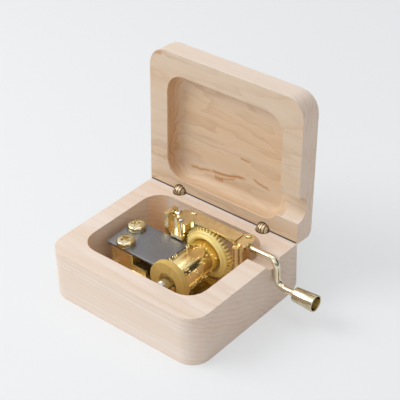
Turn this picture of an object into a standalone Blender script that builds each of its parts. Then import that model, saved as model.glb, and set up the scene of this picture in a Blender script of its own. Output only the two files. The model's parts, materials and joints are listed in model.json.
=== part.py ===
# Hand crank music box: a wooden box with a hinged lid round an 18 note movement.
# Metres, +Z up. The origin is at the middle of the underside of the box.
# X runs to the right, along the crank shaft, and Y runs to the back, where the hinges are.
# The lid stands open on its stop, as the box is shown.

from math import atan2, ceil, cos, hypot, pi, radians, sin, sqrt, tan

import bmesh
import bpy
from mathutils import Vector

for old in list(bpy.data.objects):
    bpy.data.objects.remove(old, do_unlink=True)

# Clearances
GAP = 0.0003            # between pieces that touch or seat on one another
OVERRUN = 0.0020        # how far a cut runs past the face it opens

# Box
LEFT_WALL = 0.0085
RIGHT_WALL = 0.0097
FRONT_WALL = 0.0104
BACK_WALL = 0.0064
FLOOR = 0.0032
LID_THICKNESS = 0.0100
FRONT_CORNER_RADIUS = 0.0085
BACK_CORNER_RADIUS = 0.0005
CAVITY_CORNER_RADIUS = 0.0088
BASE_BACK_RADIUS = 0.0050
LID_BACK_RADIUS = 0.0035
EDGE_ROUND = 0.0004
RECESS_SIDE = 0.0095
RECESS_FRONT = 0.0094
RECESS_BACK = 0.0062
RECESS_DEPTH = 0.0066
RECESS_COVE = 0.0040
CHANNEL_RADIUS = 0.0049     # crank channel in the base, round the shaft
SCOOP_RADIUS = 0.0060       # crank scoop in the lid, round the joint plane

# Hinges
OPEN_ANGLE = radians(93.5)
HINGE_SETBACK = 0.0008      # hinge axis in front of the back face
HINGE_SPREAD = 0.0229       # each hinge from the middle of the box
HEAD_RADIUS = 0.0030        # ball that the leaves of a hinge are cut from
LEAF = 0.00088
LEAF_COUNT = 5
LOBE_RADIUS = 0.00125       # leaf behind the axis
BARREL_RADIUS = 0.0028
BARREL_LENGTH = 0.0045
BARREL_BACK = 0.0001        # flat of a barrel in front of the axis
HINGE_PIN_RADIUS = 0.0005

# Comb
NOTES = 18
COMB_WIDTH = 0.01935
COMB_LENGTH = 0.02885
COMB_PLATE = 0.0012
COMB_TOOTH = 0.0009         # thickness of a tooth
TOOTH_SLOT = 0.00026
COMB_LIFT = 0.00257         # top of the comb above the drum axis
COMB_CORNER = 0.0010
TIP_GAP = 0.0002            # tooth tip to the circle of the pins
ROOT_BACK = 0.0050          # left end of the comb to the root of the longest tooth
ROOT_FRONT = 0.0131         # left end of the comb to the root of the shortest tooth
WEIGHTED_TEETH = 9
WEIGHT_LENGTH = 0.0040
WEIGHT_SET_BACK = 0.0030
WEIGHT_DEEP = 0.0030
WEIGHT_SHALLOW = 0.0008

# Comb screws, from the left end and the middle of the comb
SCREW_HEAD_RADIUS = 0.0041
SCREW_HEAD_HEIGHT = 0.0026
SCREW_SHANK_RADIUS = 0.0013
SCREW_SHANK_LENGTH = 0.0075
SCREW_RECESS_WIDTH = 0.0012
SCREW_RECESS_LENGTH = 0.0044
SCREW_RECESS_DEPTH = 0.0013
REAR_SCREW_X = 0.0037
REAR_SCREW_Y = 0.0048
FRONT_SCREW_X = 0.0076
FRONT_SCREW_Y = -0.0061

# Drum and its pins
DRUM_RADIUS = 0.0071
DRUM_WALL = 0.0007
PIN_HEIGHT = 0.0009
PIN_RADIUS = 0.00024
PIN_ROOT = 0.0003
PIN_SIDES = 4
PINS_PER_NOTE = 4
PIN_PLACES = 72             # places round the drum where a pin can stand
ARBOR_RADIUS = 0.0019
JOURNAL_RADIUS = 0.0029     # thick part of the arbor in front of the disc
DISC_RADIUS = 0.00955
DISC_WIDTH = 0.00295
DISC_EDGE = 0.0003
DISC_TO_COMB = 0.00045
DISC_RECESS_RADIUS = 0.0044
DISC_RECESS_DEPTH = 0.0010
HUB_RADIUS = 0.0056         # plug of the disc and the gear inside the drum
HUB_LENGTH = 0.0030

# Crown gear on the back end of the drum
GEAR_RADIUS = 0.01205
GEAR_TEETH = 42
PITCH_INSET = 0.00245       # pitch circle inside the outer circle
TOOTH_LENGTH = 0.0022       # along the axis, at the outer circle
TOOTH_REACH = 0.0013        # depth of the teeth in the back face
FLANGE_RADIUS = 0.0110      # front flange that the teeth stand out of
RIM_INNER = 0.0077          # inner end of the teeth in the back face
BEAD_RADIUS = 0.0109
BEAD_DEPTH = 0.0019         # bead in front of the teeth
BEAD_WIDTH = 0.0022
BEAD_TO_COMB = 0.0004
WEB = 0.0012                # web of the gear
GAP_TIP_SHARE = 0.70        # share of a tooth pitch that is gap, at the tip of a tooth
GAP_ROOT_SHARE = 0.50       # and at its root

# Worm and crank
WORM_RADIUS = 0.0024
WORM_CORE = 0.00175
WORM_BORE_GAP = 0.0003
MESH_DEPTH = 0.00045        # thread into the teeth
THREAD_TURNS = 3.0
THREAD_CREST_SHARE = 0.22   # of the pitch
THREAD_ROOT_SHARE = 0.42
THREAD_SINK = 0.0002        # thread rooted in the core
WORM_COLLAR = 0.0010        # plain end of the worm
SPINDLE_RADIUS = 0.0010     # thin part of the shaft, in the worm
WIRE_RADIUS = 0.0015
BEND_RADIUS = 0.0042
CRANK_OFFSET = 0.0019       # arm of the crank outside the box
CRANK_THROW = 0.0126
HANDLE_LENGTH = 0.0158      # arm to the end of the wire
KNOB_START = 0.0093         # arm to the knob
KNOB_LENGTH = 0.0102
KNOB_INNER_RADIUS = 0.00315
KNOB_OUTER_RADIUS = 0.0037
KNOB_WALL = 0.0007
KNOB_END = 0.0016           # closed end of the knob
KNOB_EDGE = 0.0003
RETAINER_RADIUS = 0.0022
RETAINER_WIDTH = 0.0009
RETAINER_SET_BACK = 0.0006  # from the end of the wire

# Bedplate and its towers
GEAR_FLOOR_GAP = 0.00055    # gear above the floor of the box
BEDPLATE = 0.0013
BEDPLATE_CORNER = 0.0040
SIDE_CLEARANCE = 0.0033     # comb to the left wall of the cavity
TOWER_GAP = 0.00175         # gear to the right tower
TOWER_WIDTH = 0.0038
TOWER_CLEARANCE = 0.00405   # right tower to the right wall
SHAFT_RISE = 0.0020         # crank shaft above the joint of the box
SHAFT_TO_BACK = 0.0099      # crank shaft to the back wall of the cavity
DISC_TO_FRONT = 0.0096      # drum disc to the front wall of the cavity
FRONT_CLEARANCE = 0.0018    # bedplate to the front wall
BACK_CLEARANCE = 0.0040     # bedplate to the back wall
PEDESTAL_INSET = 0.0014     # pedestal inside the comb's left end
PEDESTAL_EDGE = 0.0003      # pedestal inside the comb's sides
PEDESTAL_WIDTH = 0.0122
FLANGE_WIDTH = 0.0075       # low flange to the right of the pedestal
FLANGE_HEIGHT = 0.0040
RIB_HEIGHT = 0.0074         # thin rib along the front of the flange
RIB_WIDTH = 0.0014
RIB_ROUND = 0.0020
FLANGE_CORNER = 0.0025
TOWER_FRONT = 0.0034        # tower in front of the shaft
TOWER_BACK = 0.0036         # and behind it
TOWER_CORNER = 0.0010
TOWER_END_RADIUS = 0.0018   # round right end of the tower
LUG_HIGH = 0.0006           # lug top above the tower top
LUG_TO_PLATE = 0.0004
LUG_REACH = 0.0021          # lug past the tower, over the shaft
LUG_FRONT = 0.0041          # lug in front of the shaft
LUG_BACK = 0.0043           # and behind it
LUG_ROUND = 0.0021
BOSS_RADIUS = 0.0013
BOSS_FORWARD = 0.0053       # round boss in front of the shaft
BOSS_INSET = 0.0024         # boss from the tower's left face
BOSS_DROP = 0.0007          # boss top below the tower top
BLOCK_GAP = 0.0006          # gear to the left bearing block
BLOCK_WIDTH = 0.0032
BLOCK_REACH = 0.0032        # block behind the gear, past the gear's left side
UPRIGHT_WIDTH = 0.0014      # thin upright at the left of the block
BRACKET_WINDOW = 0.0036     # between the left cheek and the upright
BRACKET_FRONT = 0.0046      # bracket in front of the shaft
BRACKET_BACK = 0.0020       # and behind it
CHEEK_WIDTH = 0.0021
CHEEK_RISE = 0.0017         # cheek above the shaft
WEB_DROP = 0.0077           # web between the cheek and the block, below the shaft
WEB_CORNER = 0.0018
LEDGE_DROP = 0.0046         # ledge for the stud, below the shaft
LEDGE_THICKNESS = 0.0016
BEARING_RADIUS = 0.0033
FRONT_BEARING_LENGTH = 0.0022
CRADLE_LENGTH = 0.0052
CRADLE_RADIUS = 0.0042      # open cradle round the journal
BACK_BEARING_LENGTH = 0.0022
BACK_BEARING_GAP = 0.0006

# Top plate over the worm
PLATE_THICKNESS = 0.0007
PLATE_GAP = 0.0003          # gear and worm to the underside of the plate
PLATE_FRONT = 0.00365       # front edge from the shaft
PLATE_BACK = 0.0022         # back edge from the shaft
PLATE_OVERLAP = 0.0009      # plate on the right tower
PLATE_PAST_GEAR = 0.0017    # left end of the plate past the gear
ARM_WIDTH = 0.0054
ARM_REACH = 0.0072          # left arm in front of the shaft
NOTCH_RADIUS = 0.0016
PLATE_CORNER = 0.0012
ARM_ROUND = 0.0032          # outer corner of the arm
HEAD_HEIGHT = 0.0004        # rivet heads
RIVET_RADIUS = 0.0008
RIVET_HEAD_RADIUS = 0.0013
RIVET_LENGTH = 0.0009       # into the casting
RIVET_TO_END = 0.0029       # left rivet from the left end of the plate
RIVET_BACK = 0.0009         # left rivet behind the shaft
RIGHT_RIVET_X = 0.0031      # right rivet from the tower's left face
RIGHT_RIVET_BACK = 0.0026   # right rivet behind the shaft
STUD_RADIUS = 0.0006
STUD_HEAD_RADIUS = 0.0011
STUD_TO_END = 0.0018        # stud from the left end of the plate
STUD_REACH = 0.0061         # stud in front of the shaft

# Rings on the shaft
WASHER_RADIUS = 0.0021
WASHER_WIDTH = 0.0005
COLLAR_RADIUS = 0.0022
COLLAR_WIDTH = 0.0012
SPINDLE_END = 0.0008        # spindle past the left cheek

# Screws through the floor of the box
FLOOR_SCREW_RADIUS = 0.0011
FLOOR_SCREW_HEAD_RADIUS = 0.0024
FLOOR_SCREW_HEAD = 0.0012
FLOOR_SCREW_LENGTH = 0.0075
FLOOR_SCREW_SINK = 0.0004   # head below the underside
PEDESTAL_SCREW_SHARE = 0.5  # of the pedestal's width
TOWER_SCREW_SHARE = 0.5     # of the tower's width

# Facets
FINE = 44
ROUND = 22
SMALL = 12
TINY = 8
CORNER_STEPS = 5
DOME_STEPS = 4

# Heights, from the floor of the box up
gear_bottom = FLOOR + GEAR_FLOOR_GAP
drum_z = gear_bottom + GEAR_RADIUS
pitch_radius = GEAR_RADIUS - PITCH_INSET
shaft_z = drum_z + pitch_radius
base_height = shaft_z - SHAFT_RISE
bedplate_bottom = FLOOR + GAP
bedplate_top = bedplate_bottom + BEDPLATE
comb_top = drum_z + COMB_LIFT
comb_bottom = comb_top - COMB_PLATE
pedestal_top = comb_bottom - GAP
plate_bottom = max(shaft_z + WORM_RADIUS, drum_z + GEAR_RADIUS) + PLATE_GAP
plate_top = plate_bottom + PLATE_THICKNESS
tower_top = plate_bottom - GAP

# Widths, from the left wall of the cavity to the right
pin_circle = DRUM_RADIUS + PIN_HEIGHT
tooth_under = COMB_LIFT - COMB_TOOTH
tip_to_axis = sqrt(pin_circle ** 2 - tooth_under ** 2) + TIP_GAP
cavity_width = (SIDE_CLEARANCE + COMB_LENGTH + tip_to_axis + GEAR_RADIUS
                + TOWER_GAP + TOWER_WIDTH + TOWER_CLEARANCE)
box_width = LEFT_WALL + cavity_width + RIGHT_WALL
cavity_left = LEFT_WALL - box_width / 2
cavity_right = cavity_left + cavity_width
comb_left = cavity_left + SIDE_CLEARANCE
comb_tip = comb_left + COMB_LENGTH
drum_x = comb_tip + tip_to_axis
tower_left = drum_x + GEAR_RADIUS + TOWER_GAP
tower_right = tower_left + TOWER_WIDTH

# Depths, from the front wall of the cavity to the back
worm_reach = WORM_RADIUS - MESH_DEPTH
drum_train = (DISC_WIDTH + DISC_TO_COMB + COMB_WIDTH + BEAD_TO_COMB
              + BEAD_DEPTH + TOOTH_LENGTH)
cavity_depth = DISC_TO_FRONT + drum_train + worm_reach + SHAFT_TO_BACK
box_depth = FRONT_WALL + cavity_depth + BACK_WALL
cavity_front = FRONT_WALL - box_depth / 2
cavity_back = cavity_front + cavity_depth
disc_front = cavity_front + DISC_TO_FRONT
disc_back = disc_front + DISC_WIDTH
comb_front = disc_back + DISC_TO_COMB
comb_back = comb_front + COMB_WIDTH
comb_middle = (comb_front + comb_back) / 2
bead_front = comb_back + BEAD_TO_COMB
gear_front = bead_front + BEAD_DEPTH
gear_back = gear_front + TOOTH_LENGTH
shaft_y = gear_back + worm_reach
hinge_y = box_depth / 2 - HINGE_SETBACK
hinge_z = base_height + GAP / 2
lid_low = GAP / 2           # underside of the lid above the hinge axis
chamfer_drop = HINGE_SETBACK * tan(OPEN_ANGLE / 2)

# Bedplate places
pedestal_left = comb_left + PEDESTAL_INSET
pedestal_right = pedestal_left + PEDESTAL_WIDTH
block_right = drum_x - GEAR_RADIUS - BLOCK_GAP
block_left = block_right - BLOCK_WIDTH
upright_left = block_left - UPRIGHT_WIDTH
cheek_right = upright_left - BRACKET_WINDOW
cheek_left = cheek_right - CHEEK_WIDTH
tower_front = shaft_y - TOWER_FRONT
tower_back = shaft_y + TOWER_BACK
bedplate_front = cavity_front + FRONT_CLEARANCE
bedplate_back = cavity_back - BACK_CLEARANCE
plate_left = drum_x - GEAR_RADIUS - PLATE_PAST_GEAR
plate_right = tower_left + PLATE_OVERLAP
bracket_front = shaft_y - BRACKET_FRONT
bracket_back = shaft_y + BRACKET_BACK
lug_top = tower_top + LUG_HIGH
lug_low = shaft_z + WIRE_RADIUS + GAP
back_bearing_front = gear_back + BACK_BEARING_GAP
back_bearing_back = back_bearing_front + BACK_BEARING_LENGTH
arbor_bore = ARBOR_RADIUS + GAP
journal_front = bedplate_front + FRONT_BEARING_LENGTH + GAP

# Worm and crank places
worm_pitch = 2 * pi * pitch_radius / GEAR_TEETH
thread_length = THREAD_TURNS * worm_pitch
worm_half = thread_length / 2 + WORM_COLLAR
crank_x = box_width / 2 + CRANK_OFFSET
handle_z = shaft_z - CRANK_THROW
knob_x = crank_x + KNOB_START
wire_end = crank_x + HANDLE_LENGTH


# Outlines
def corner_points(before, corner, after, radius):
    """Points of one rounded corner of an outline."""
    if radius <= 0:
        return [corner]
    here = Vector(corner)
    one = (Vector(before) - here).normalized()
    two = (Vector(after) - here).normalized()
    half = one.angle(two) / 2
    middle = here + (one + two).normalized() * (radius / sin(half))
    start = here + one * (radius / tan(half)) - middle
    sweep = start.angle_signed(here + two * (radius / tan(half)) - middle)
    first = atan2(start.y, start.x)
    angles = [first - sweep * k / CORNER_STEPS for k in range(CORNER_STEPS + 1)]
    return [(middle.x + radius * cos(a), middle.y + radius * sin(a)) for a in angles]


def rounded(corners, radii):
    """Closed outline through corners, each with its own radius."""
    points = []
    count = len(corners)
    for k, corner in enumerate(corners):
        points += corner_points(corners[k - 1], corner, corners[(k + 1) % count], radii[k])
    return points


def rectangle(left, right, front, back):
    return [(left, front), (right, front), (right, back), (left, back)]


def arc(x, y, radius, start, end, steps):
    """Points of an arc, angles in radians."""
    angles = [start + (end - start) * k / steps for k in range(steps + 1)]
    return [(x + radius * cos(a), y + radius * sin(a)) for a in angles]


def circle(x, y, radius, steps):
    return arc(x, y, radius, 0, 2 * pi, steps)[:-1]


# Meshes
PLANES = {
    "XY": lambda u, v, w: (u, v, w),
    "YZ": lambda u, v, w: (w, u, v),
    "XZ": lambda u, v, w: (u, w, v),
}


def finish_mesh(bm, name):
    bmesh.ops.recalc_face_normals(bm, faces=bm.faces)
    mesh = bpy.data.meshes.new(name)
    bm.to_mesh(mesh)
    bm.free()
    return mesh


def add_loft(bm, loops):
    """Closed skin through loops of equal length, with a flat cap at each end."""
    rings = [[bm.verts.new(p) for p in loop] for loop in loops]
    for low, high in zip(rings, rings[1:]):
        for k in range(len(low)):
            bm.faces.new((low[k - 1], low[k], high[k], high[k - 1]))
    bm.faces.new(rings[0])
    bm.faces.new(rings[-1])


def prism(name, outline, low, high, plane="XY"):
    """Outline drawn out from low to high, square to its plane."""
    place = PLANES[plane]
    bm = bmesh.new()
    add_loft(bm, [[place(u, v, w) for u, v in outline] for w in (low, high)])
    return finish_mesh(bm, name)


def turned(name, profile, steps):
    """Profile of (radius, height) points turned round Z. Points on the axis close it."""
    bm = bmesh.new()
    rings = []
    for radius, height in profile:
        if radius == 0:
            rings.append([bm.verts.new((0, 0, height))])
        else:
            rings.append([bm.verts.new((x, y, height)) for x, y in circle(0, 0, radius, steps)])
    pairs = list(zip(rings, rings[1:]))
    if len(rings[0]) > 1 and len(rings[-1]) > 1:
        pairs.append((rings[-1], rings[0]))
    for low, high in pairs:
        for k in range(steps):
            corners = [low[k - 1 if len(low) > 1 else 0], low[k if len(low) > 1 else 0],
                       high[k if len(high) > 1 else 0], high[k - 1 if len(high) > 1 else 0]]
            face = list(dict.fromkeys(corners))
            if len(face) > 2:
                bm.faces.new(face)
    return finish_mesh(bm, name)


# Objects
def axis_empty(name, location, rotation=(0, 0, 0), parent=None):
    """Empty on a joint axis, which carries the pieces that move on it."""
    empty = bpy.data.objects.new(name, None)
    bpy.context.collection.objects.link(empty)
    empty.location = location
    empty.rotation_euler = rotation
    empty.parent = parent
    empty.empty_display_size = BEND_RADIUS
    return empty


def material(name, colour, metallic, roughness):
    made = bpy.data.materials.new(name)
    made.use_nodes = True
    shader = made.node_tree.nodes["Principled BSDF"]
    shader.inputs["Base Color"].default_value = (*colour, 1)
    shader.inputs["Metallic"].default_value = metallic
    shader.inputs["Roughness"].default_value = roughness
    return made


FINISHES = {
    "maple": ((0.78, 0.66, 0.52), 0, 0.55),
    "gold": ((0.72, 0.52, 0.22), 1, 0.38),
    "brass": ((0.80, 0.62, 0.30), 1, 0.22),
    "pale_gold": ((0.80, 0.72, 0.50), 1, 0.22),
    "old_brass": ((0.42, 0.35, 0.22), 1, 0.35),
    "comb_steel": ((0.42, 0.42, 0.44), 1, 0.42),
    "bright_steel": ((0.68, 0.68, 0.66), 1, 0.25),
    "yellow_plastic": ((0.78, 0.58, 0.20), 0, 0.40),
}


def piece(name, mesh, finish, parent=None, location=(0, 0, 0), rotation=(0, 0, 0)):
    """Named object with its own material."""
    body = bpy.data.objects.new(name, mesh)
    bpy.context.collection.objects.link(body)
    body.parent = parent
    body.location = location
    body.rotation_euler = rotation
    mesh.materials.append(material(name + "_finish", *FINISHES[finish]))
    mesh.shade_smooth()
    mesh.set_sharp_from_angle(angle=radians(30))
    return body


def shape(body, mesh, operation, location=(0, 0, 0), rotation=(0, 0, 0)):
    """Cut, add or keep the volume of a mesh, placed in the frame of the body's parent."""
    tool = bpy.data.objects.new(mesh.name, mesh)
    bpy.context.collection.objects.link(tool)
    tool.parent = body.parent
    tool.location = location
    tool.rotation_euler = rotation
    tool.hide_render = True
    tool.display_type = "WIRE"
    step = body.modifiers.new(mesh.name, "BOOLEAN")
    step.operation = operation
    step.object = tool


def cut(body, mesh, location=(0, 0, 0), rotation=(0, 0, 0)):
    shape(body, mesh, "DIFFERENCE", location, rotation)


def add(body, mesh, location=(0, 0, 0), rotation=(0, 0, 0)):
    shape(body, mesh, "UNION", location, rotation)


def soften(body, width):
    """Small round on the sharp edges that a body has so far."""
    step = body.modifiers.new("edge_round", "BEVEL")
    step.width = width
    step.segments = 2
    step.limit_method = "ANGLE"
    step.angle_limit = radians(40)


def rod(name, radius, low, high, plane, u, v, steps):
    """Round bar along the axis square to the plane, centred at (u, v)."""
    return prism(name, circle(u, v, radius, steps), low, high, plane)


ALONG_X = (0, pi / 2, 0)
ALONG_Y = (-pi / 2, 0, 0)


# Wooden box
def plan_outline():
    corners = rectangle(-box_width / 2, box_width / 2, -box_depth / 2, box_depth / 2)
    radii = [FRONT_CORNER_RADIUS, FRONT_CORNER_RADIUS, BACK_CORNER_RADIUS, BACK_CORNER_RADIUS]
    return rounded(corners, radii)


def cut_hinge_seats(body, axis_y, axis_z, up):
    """Mortise and knuckle slot of both hinges. up is 1 for the lid and -1 for the base."""
    seat_radius = HEAD_RADIUS + GAP
    depth = HEAD_RADIUS + 2 * GAP + BARREL_LENGTH
    for side in (-1, 1):
        x = side * HINGE_SPREAD
        front = arc(x, axis_y, seat_radius, pi, 2 * pi, ROUND)
        outline = front + [(x + seat_radius, axis_y + GAP - BARREL_BACK),
                           (x - seat_radius, axis_y + GAP - BARREL_BACK)]
        levels = sorted((axis_z - up * OVERRUN, axis_z + up * depth))
        cut(body, prism("cut_mortise", outline, *levels))
        half = knuckle_half() + GAP
        cut(body, rod("cut_knuckle", LOBE_RADIUS + GAP, x - half, x + half, "YZ",
                      axis_y, axis_z, ROUND))


def make_base():
    base = piece("box_base", prism("box_base", plan_outline(), 0, base_height), "maple")
    half = box_width / 2 + OVERRUN
    side = [(-box_depth / 2, 0), (box_depth / 2, 0),
            (box_depth / 2, base_height - chamfer_drop),
            (hinge_y, base_height), (-box_depth / 2, base_height)]
    profile = rounded(side, [0, BASE_BACK_RADIUS, 0, 0, 0])
    shape(base, prism("keep_profile", profile, -half, half, "YZ"), "INTERSECT")
    soften(base, EDGE_ROUND)
    cavity = rounded(rectangle(cavity_left, cavity_right, cavity_front, cavity_back),
                     [CAVITY_CORNER_RADIUS] * 4)
    cut(base, prism("cut_cavity", cavity, FLOOR, base_height + OVERRUN))
    cut(base, rod("cut_channel", CHANNEL_RADIUS, cavity_right - OVERRUN, half, "YZ",
                  shaft_y, shaft_z, ROUND))
    cut_hinge_seats(base, hinge_y, base_height, -1)
    for x, y in floor_screws():
        cut(base, rod("cut_counterbore", FLOOR_SCREW_HEAD_RADIUS + GAP, -OVERRUN,
                      FLOOR_SCREW_SINK + FLOOR_SCREW_HEAD + GAP, "XY", x, y, SMALL))
        cut(base, rod("cut_floor_hole", FLOOR_SCREW_RADIUS + GAP, 0, FLOOR + OVERRUN,
                      "XY", x, y, SMALL))


def make_lid(parent):
    """The lid is drawn closed, in the frame of its hinge axis."""
    low = lid_low
    high = low + LID_THICKNESS
    front = -box_depth + HINGE_SETBACK
    back = HINGE_SETBACK
    outline = [(x, y - hinge_y) for x, y in plan_outline()]
    lid = piece("box_lid", prism("box_lid", outline, low, high), "maple", parent)
    half = box_width / 2 + OVERRUN
    side = [(front, low), (0, low), (back, low + chamfer_drop), (back, high), (front, high)]
    profile = rounded(side, [0, 0, 0, LID_BACK_RADIUS, 0])
    shape(lid, prism("keep_profile", profile, -half, half, "YZ"), "INTERSECT")
    soften(lid, EDGE_ROUND)
    bm = bmesh.new()
    add_loft(bm, [recess_loop(-OVERRUN, 0, front, back)]
             + [recess_loop(RECESS_DEPTH - RECESS_COVE * (1 - sin(a)),
                            RECESS_COVE * (1 - cos(a)), front, back)
                for a in [pi / 2 * k / CORNER_STEPS for k in range(CORNER_STEPS + 1)]])
    cut(lid, finish_mesh(bm, "cut_recess"))
    cut(lid, rod("cut_scoop", SCOOP_RADIUS, box_width / 2 - RECESS_SIDE - RECESS_COVE, half,
                 "YZ", shaft_y - hinge_y, low, ROUND))
    cut_hinge_seats(lid, 0, low, 1)


def recess_loop(depth, inset, front, back):
    """Loop of the lid's recess at a depth, drawn in by an inset."""
    side = box_width / 2 - RECESS_SIDE - inset
    corners = rectangle(-side, side, front + RECESS_FRONT + inset, back - RECESS_BACK - inset)
    loop = rounded(corners, [CAVITY_CORNER_RADIUS - inset] * 4)
    return [(x, y, lid_low + depth) for x, y in loop]


# Hinges
def leaf_pitch():
    return LEAF + GAP


def knuckle_half():
    return (LEAF_COUNT * LEAF + (LEAF_COUNT - 1) * GAP) / 2


def make_hinge_half(name, x, up, leaves, parent, origin):
    """D shaped barrel with round leaves on the hinge axis. up is 1 on the lid."""
    root = HEAD_RADIUS + GAP
    levels = sorted((up * root, up * (root + BARREL_LENGTH)))
    outline = (arc(0, 0, BARREL_RADIUS, pi, 2 * pi, ROUND // 2)
               + [(BARREL_RADIUS, -BARREL_BACK), (-BARREL_RADIUS, -BARREL_BACK)])
    outline = [point for point in outline if point[1] <= -BARREL_BACK]
    location = (x, origin[1], origin[2])
    body = piece(name, prism(name, outline, *levels), "old_brass", parent, location)
    for leaf in leaves:
        low = leaf * leaf_pitch() - knuckle_half()
        high = low + LEAF
        reach = max(abs(low), abs(high))
        radius = sqrt(HEAD_RADIUS ** 2 - reach ** 2)
        foot = -(root + GAP)
        face = (arc(0, 0, min(LOBE_RADIUS, radius), -pi / 2, pi / 2, TINY)
                + arc(0, 0, radius, pi / 2, pi, TINY)
                + [(-radius, foot), (-BARREL_BACK, foot)])
        face = [(y, -up * z) for y, z in face]
        add(body, prism("add_leaf", face, low, high, "YZ"), location)
    cut(body, rod("cut_pin_bore", HINGE_PIN_RADIUS + GAP, -knuckle_half() - GAP,
                  knuckle_half() + GAP, "YZ", 0, 0, TINY), location)


def make_hinges(lid_axis):
    for side, x in (("left", -HINGE_SPREAD), ("right", HINGE_SPREAD)):
        base_leaves = range(0, LEAF_COUNT, 2)
        lid_leaves = range(1, LEAF_COUNT, 2)
        make_hinge_half("hinge_base_" + side, x, -1, base_leaves, None, (x, hinge_y, hinge_z))
        make_hinge_half("hinge_lid_" + side, x, 1, lid_leaves, lid_axis, (x, 0, 0))
        half = knuckle_half()
        pin = rod("hinge_pin_" + side, HINGE_PIN_RADIUS, -half, half, "YZ", 0, 0, TINY)
        piece("hinge_pin_" + side, pin, "old_brass", None, (x, hinge_y, hinge_z))


# Comb
def tooth_root(y):
    """Root of the teeth from the left end of the comb. It slants from the front to the back."""
    along = (y - comb_front) / COMB_WIDTH
    return comb_left + ROOT_FRONT + (ROOT_BACK - ROOT_FRONT) * along


def make_comb():
    corners = rectangle(comb_left, comb_tip, comb_front, comb_back)
    outline = rounded(corners, [COMB_CORNER, 0, 0, COMB_CORNER])
    comb = piece("comb", prism("comb", outline, comb_bottom, comb_top), "comb_steel")
    pitch = COMB_WIDTH / NOTES
    step = pitch - TOOTH_SLOT
    under = [(tooth_root(comb_front - OVERRUN), comb_front - OVERRUN),
             (comb_tip + OVERRUN, comb_front - OVERRUN),
             (comb_tip + OVERRUN, comb_back + OVERRUN),
             (tooth_root(comb_back + OVERRUN), comb_back + OVERRUN)]
    cut(comb, prism("cut_under", under, comb_bottom - OVERRUN, comb_top - COMB_TOOTH))
    bm = bmesh.new()
    for k in range(WEIGHTED_TEETH):
        middle = comb_back - (k + 1 / 2) * pitch
        deep = WEIGHT_DEEP + (WEIGHT_SHALLOW - WEIGHT_DEEP) * k / (WEIGHTED_TEETH - 1)
        right = comb_tip - WEIGHT_SET_BACK
        block = rectangle(right - WEIGHT_LENGTH, right, middle - step / 2, middle + step / 2)
        levels = (comb_top - COMB_TOOTH - deep, comb_top - COMB_TOOTH / 2)
        add_loft(bm, [[(x, y, z) for x, y in block] for z in levels])
    add(comb, finish_mesh(bm, "add_weights"))
    bm = bmesh.new()
    for k in range(1, NOTES):
        y = comb_front + k * pitch
        slot = rectangle(tooth_root(y), comb_tip + OVERRUN, y - TOOTH_SLOT / 2, y + TOOTH_SLOT / 2)
        add_loft(bm, [[(a, b, z) for a, b in slot]
                      for z in (comb_bottom - OVERRUN, comb_top + OVERRUN)])
    cut(comb, finish_mesh(bm, "cut_slots"))
    for x, y in comb_screws().values():
        cut(comb, rod("cut_screw_hole", SCREW_SHANK_RADIUS + GAP, comb_bottom - OVERRUN,
                      comb_top + OVERRUN, "XY", x, y, SMALL))


def comb_screws():
    return {"rear": (comb_left + REAR_SCREW_X, comb_middle + REAR_SCREW_Y),
            "front": (comb_left + FRONT_SCREW_X, comb_middle + FRONT_SCREW_Y)}


def pan_head(radius, height, shank_radius, shank_length):
    """Profile of a pan head screw or rivet, from its tip up. The head seats at zero."""
    dome = [(radius * cos(a), height / 2 + height / 2 * sin(a))
            for a in [pi / 2 * k / DOME_STEPS for k in range(DOME_STEPS)]]
    return ([(0, -shank_length), (shank_radius, -shank_length), (shank_radius, 0), (radius, 0)]
            + dome + [(0, height)])


def make_comb_screws():
    for name, (x, y) in comb_screws().items():
        profile = pan_head(SCREW_HEAD_RADIUS, SCREW_HEAD_HEIGHT, SCREW_SHANK_RADIUS,
                           SCREW_SHANK_LENGTH)
        screw = piece("comb_screw_" + name, turned("comb_screw", profile, ROUND), "pale_gold",
                      None, (x, y, comb_top + GAP))
        for length, width in ((SCREW_RECESS_LENGTH, SCREW_RECESS_WIDTH),
                              (SCREW_RECESS_WIDTH, SCREW_RECESS_LENGTH)):
            cross = rectangle(-length / 2, length / 2, -width / 2, width / 2)
            cut(screw, prism("cut_cross", cross, SCREW_HEAD_HEIGHT - SCREW_RECESS_DEPTH,
                             SCREW_HEAD_HEIGHT + OVERRUN), (x, y, comb_top + GAP))


# Drum, in the frame of its axis: Z runs to the back, from the middle of the comb
def drum_place(y):
    return y - comb_middle


def make_drum(parent):
    low = drum_place(disc_back + GAP)
    high = drum_place(gear_front - GAP)
    inner = DRUM_RADIUS - DRUM_WALL
    profile = [(inner, low), (DRUM_RADIUS, low), (DRUM_RADIUS, high), (inner, high)]
    drum = piece("drum", turned("drum", profile, FINE), "brass", parent, (0, 0, 0), ALONG_Y)
    bm = bmesh.new()
    for note in range(NOTES):
        height = drum_place(comb_front) + (note + 1 / 2) * COMB_WIDTH / NOTES
        for k in range(PINS_PER_NOTE):
            place = (note * 11 + k * k * 5 + k * 13) % PIN_PLACES
            add_pin(bm, 2 * pi * (place + 1 / 2) / PIN_PLACES, height)
    add(drum, finish_mesh(bm, "add_pins"), (0, 0, 0), ALONG_Y)


def add_pin(bm, angle, height):
    """Pin that stands out of the drum at an angle."""
    outward = Vector((cos(angle), sin(angle), 0))
    across = Vector((-sin(angle), cos(angle), 0))
    loops = []
    for radius in (DRUM_RADIUS - PIN_ROOT, pin_circle):
        middle = outward * radius + Vector((0, 0, height))
        loops.append([middle + across * u + Vector((0, 0, v))
                      for u, v in circle(0, 0, PIN_RADIUS, PIN_SIDES)])
    add_loft(bm, loops)


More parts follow.
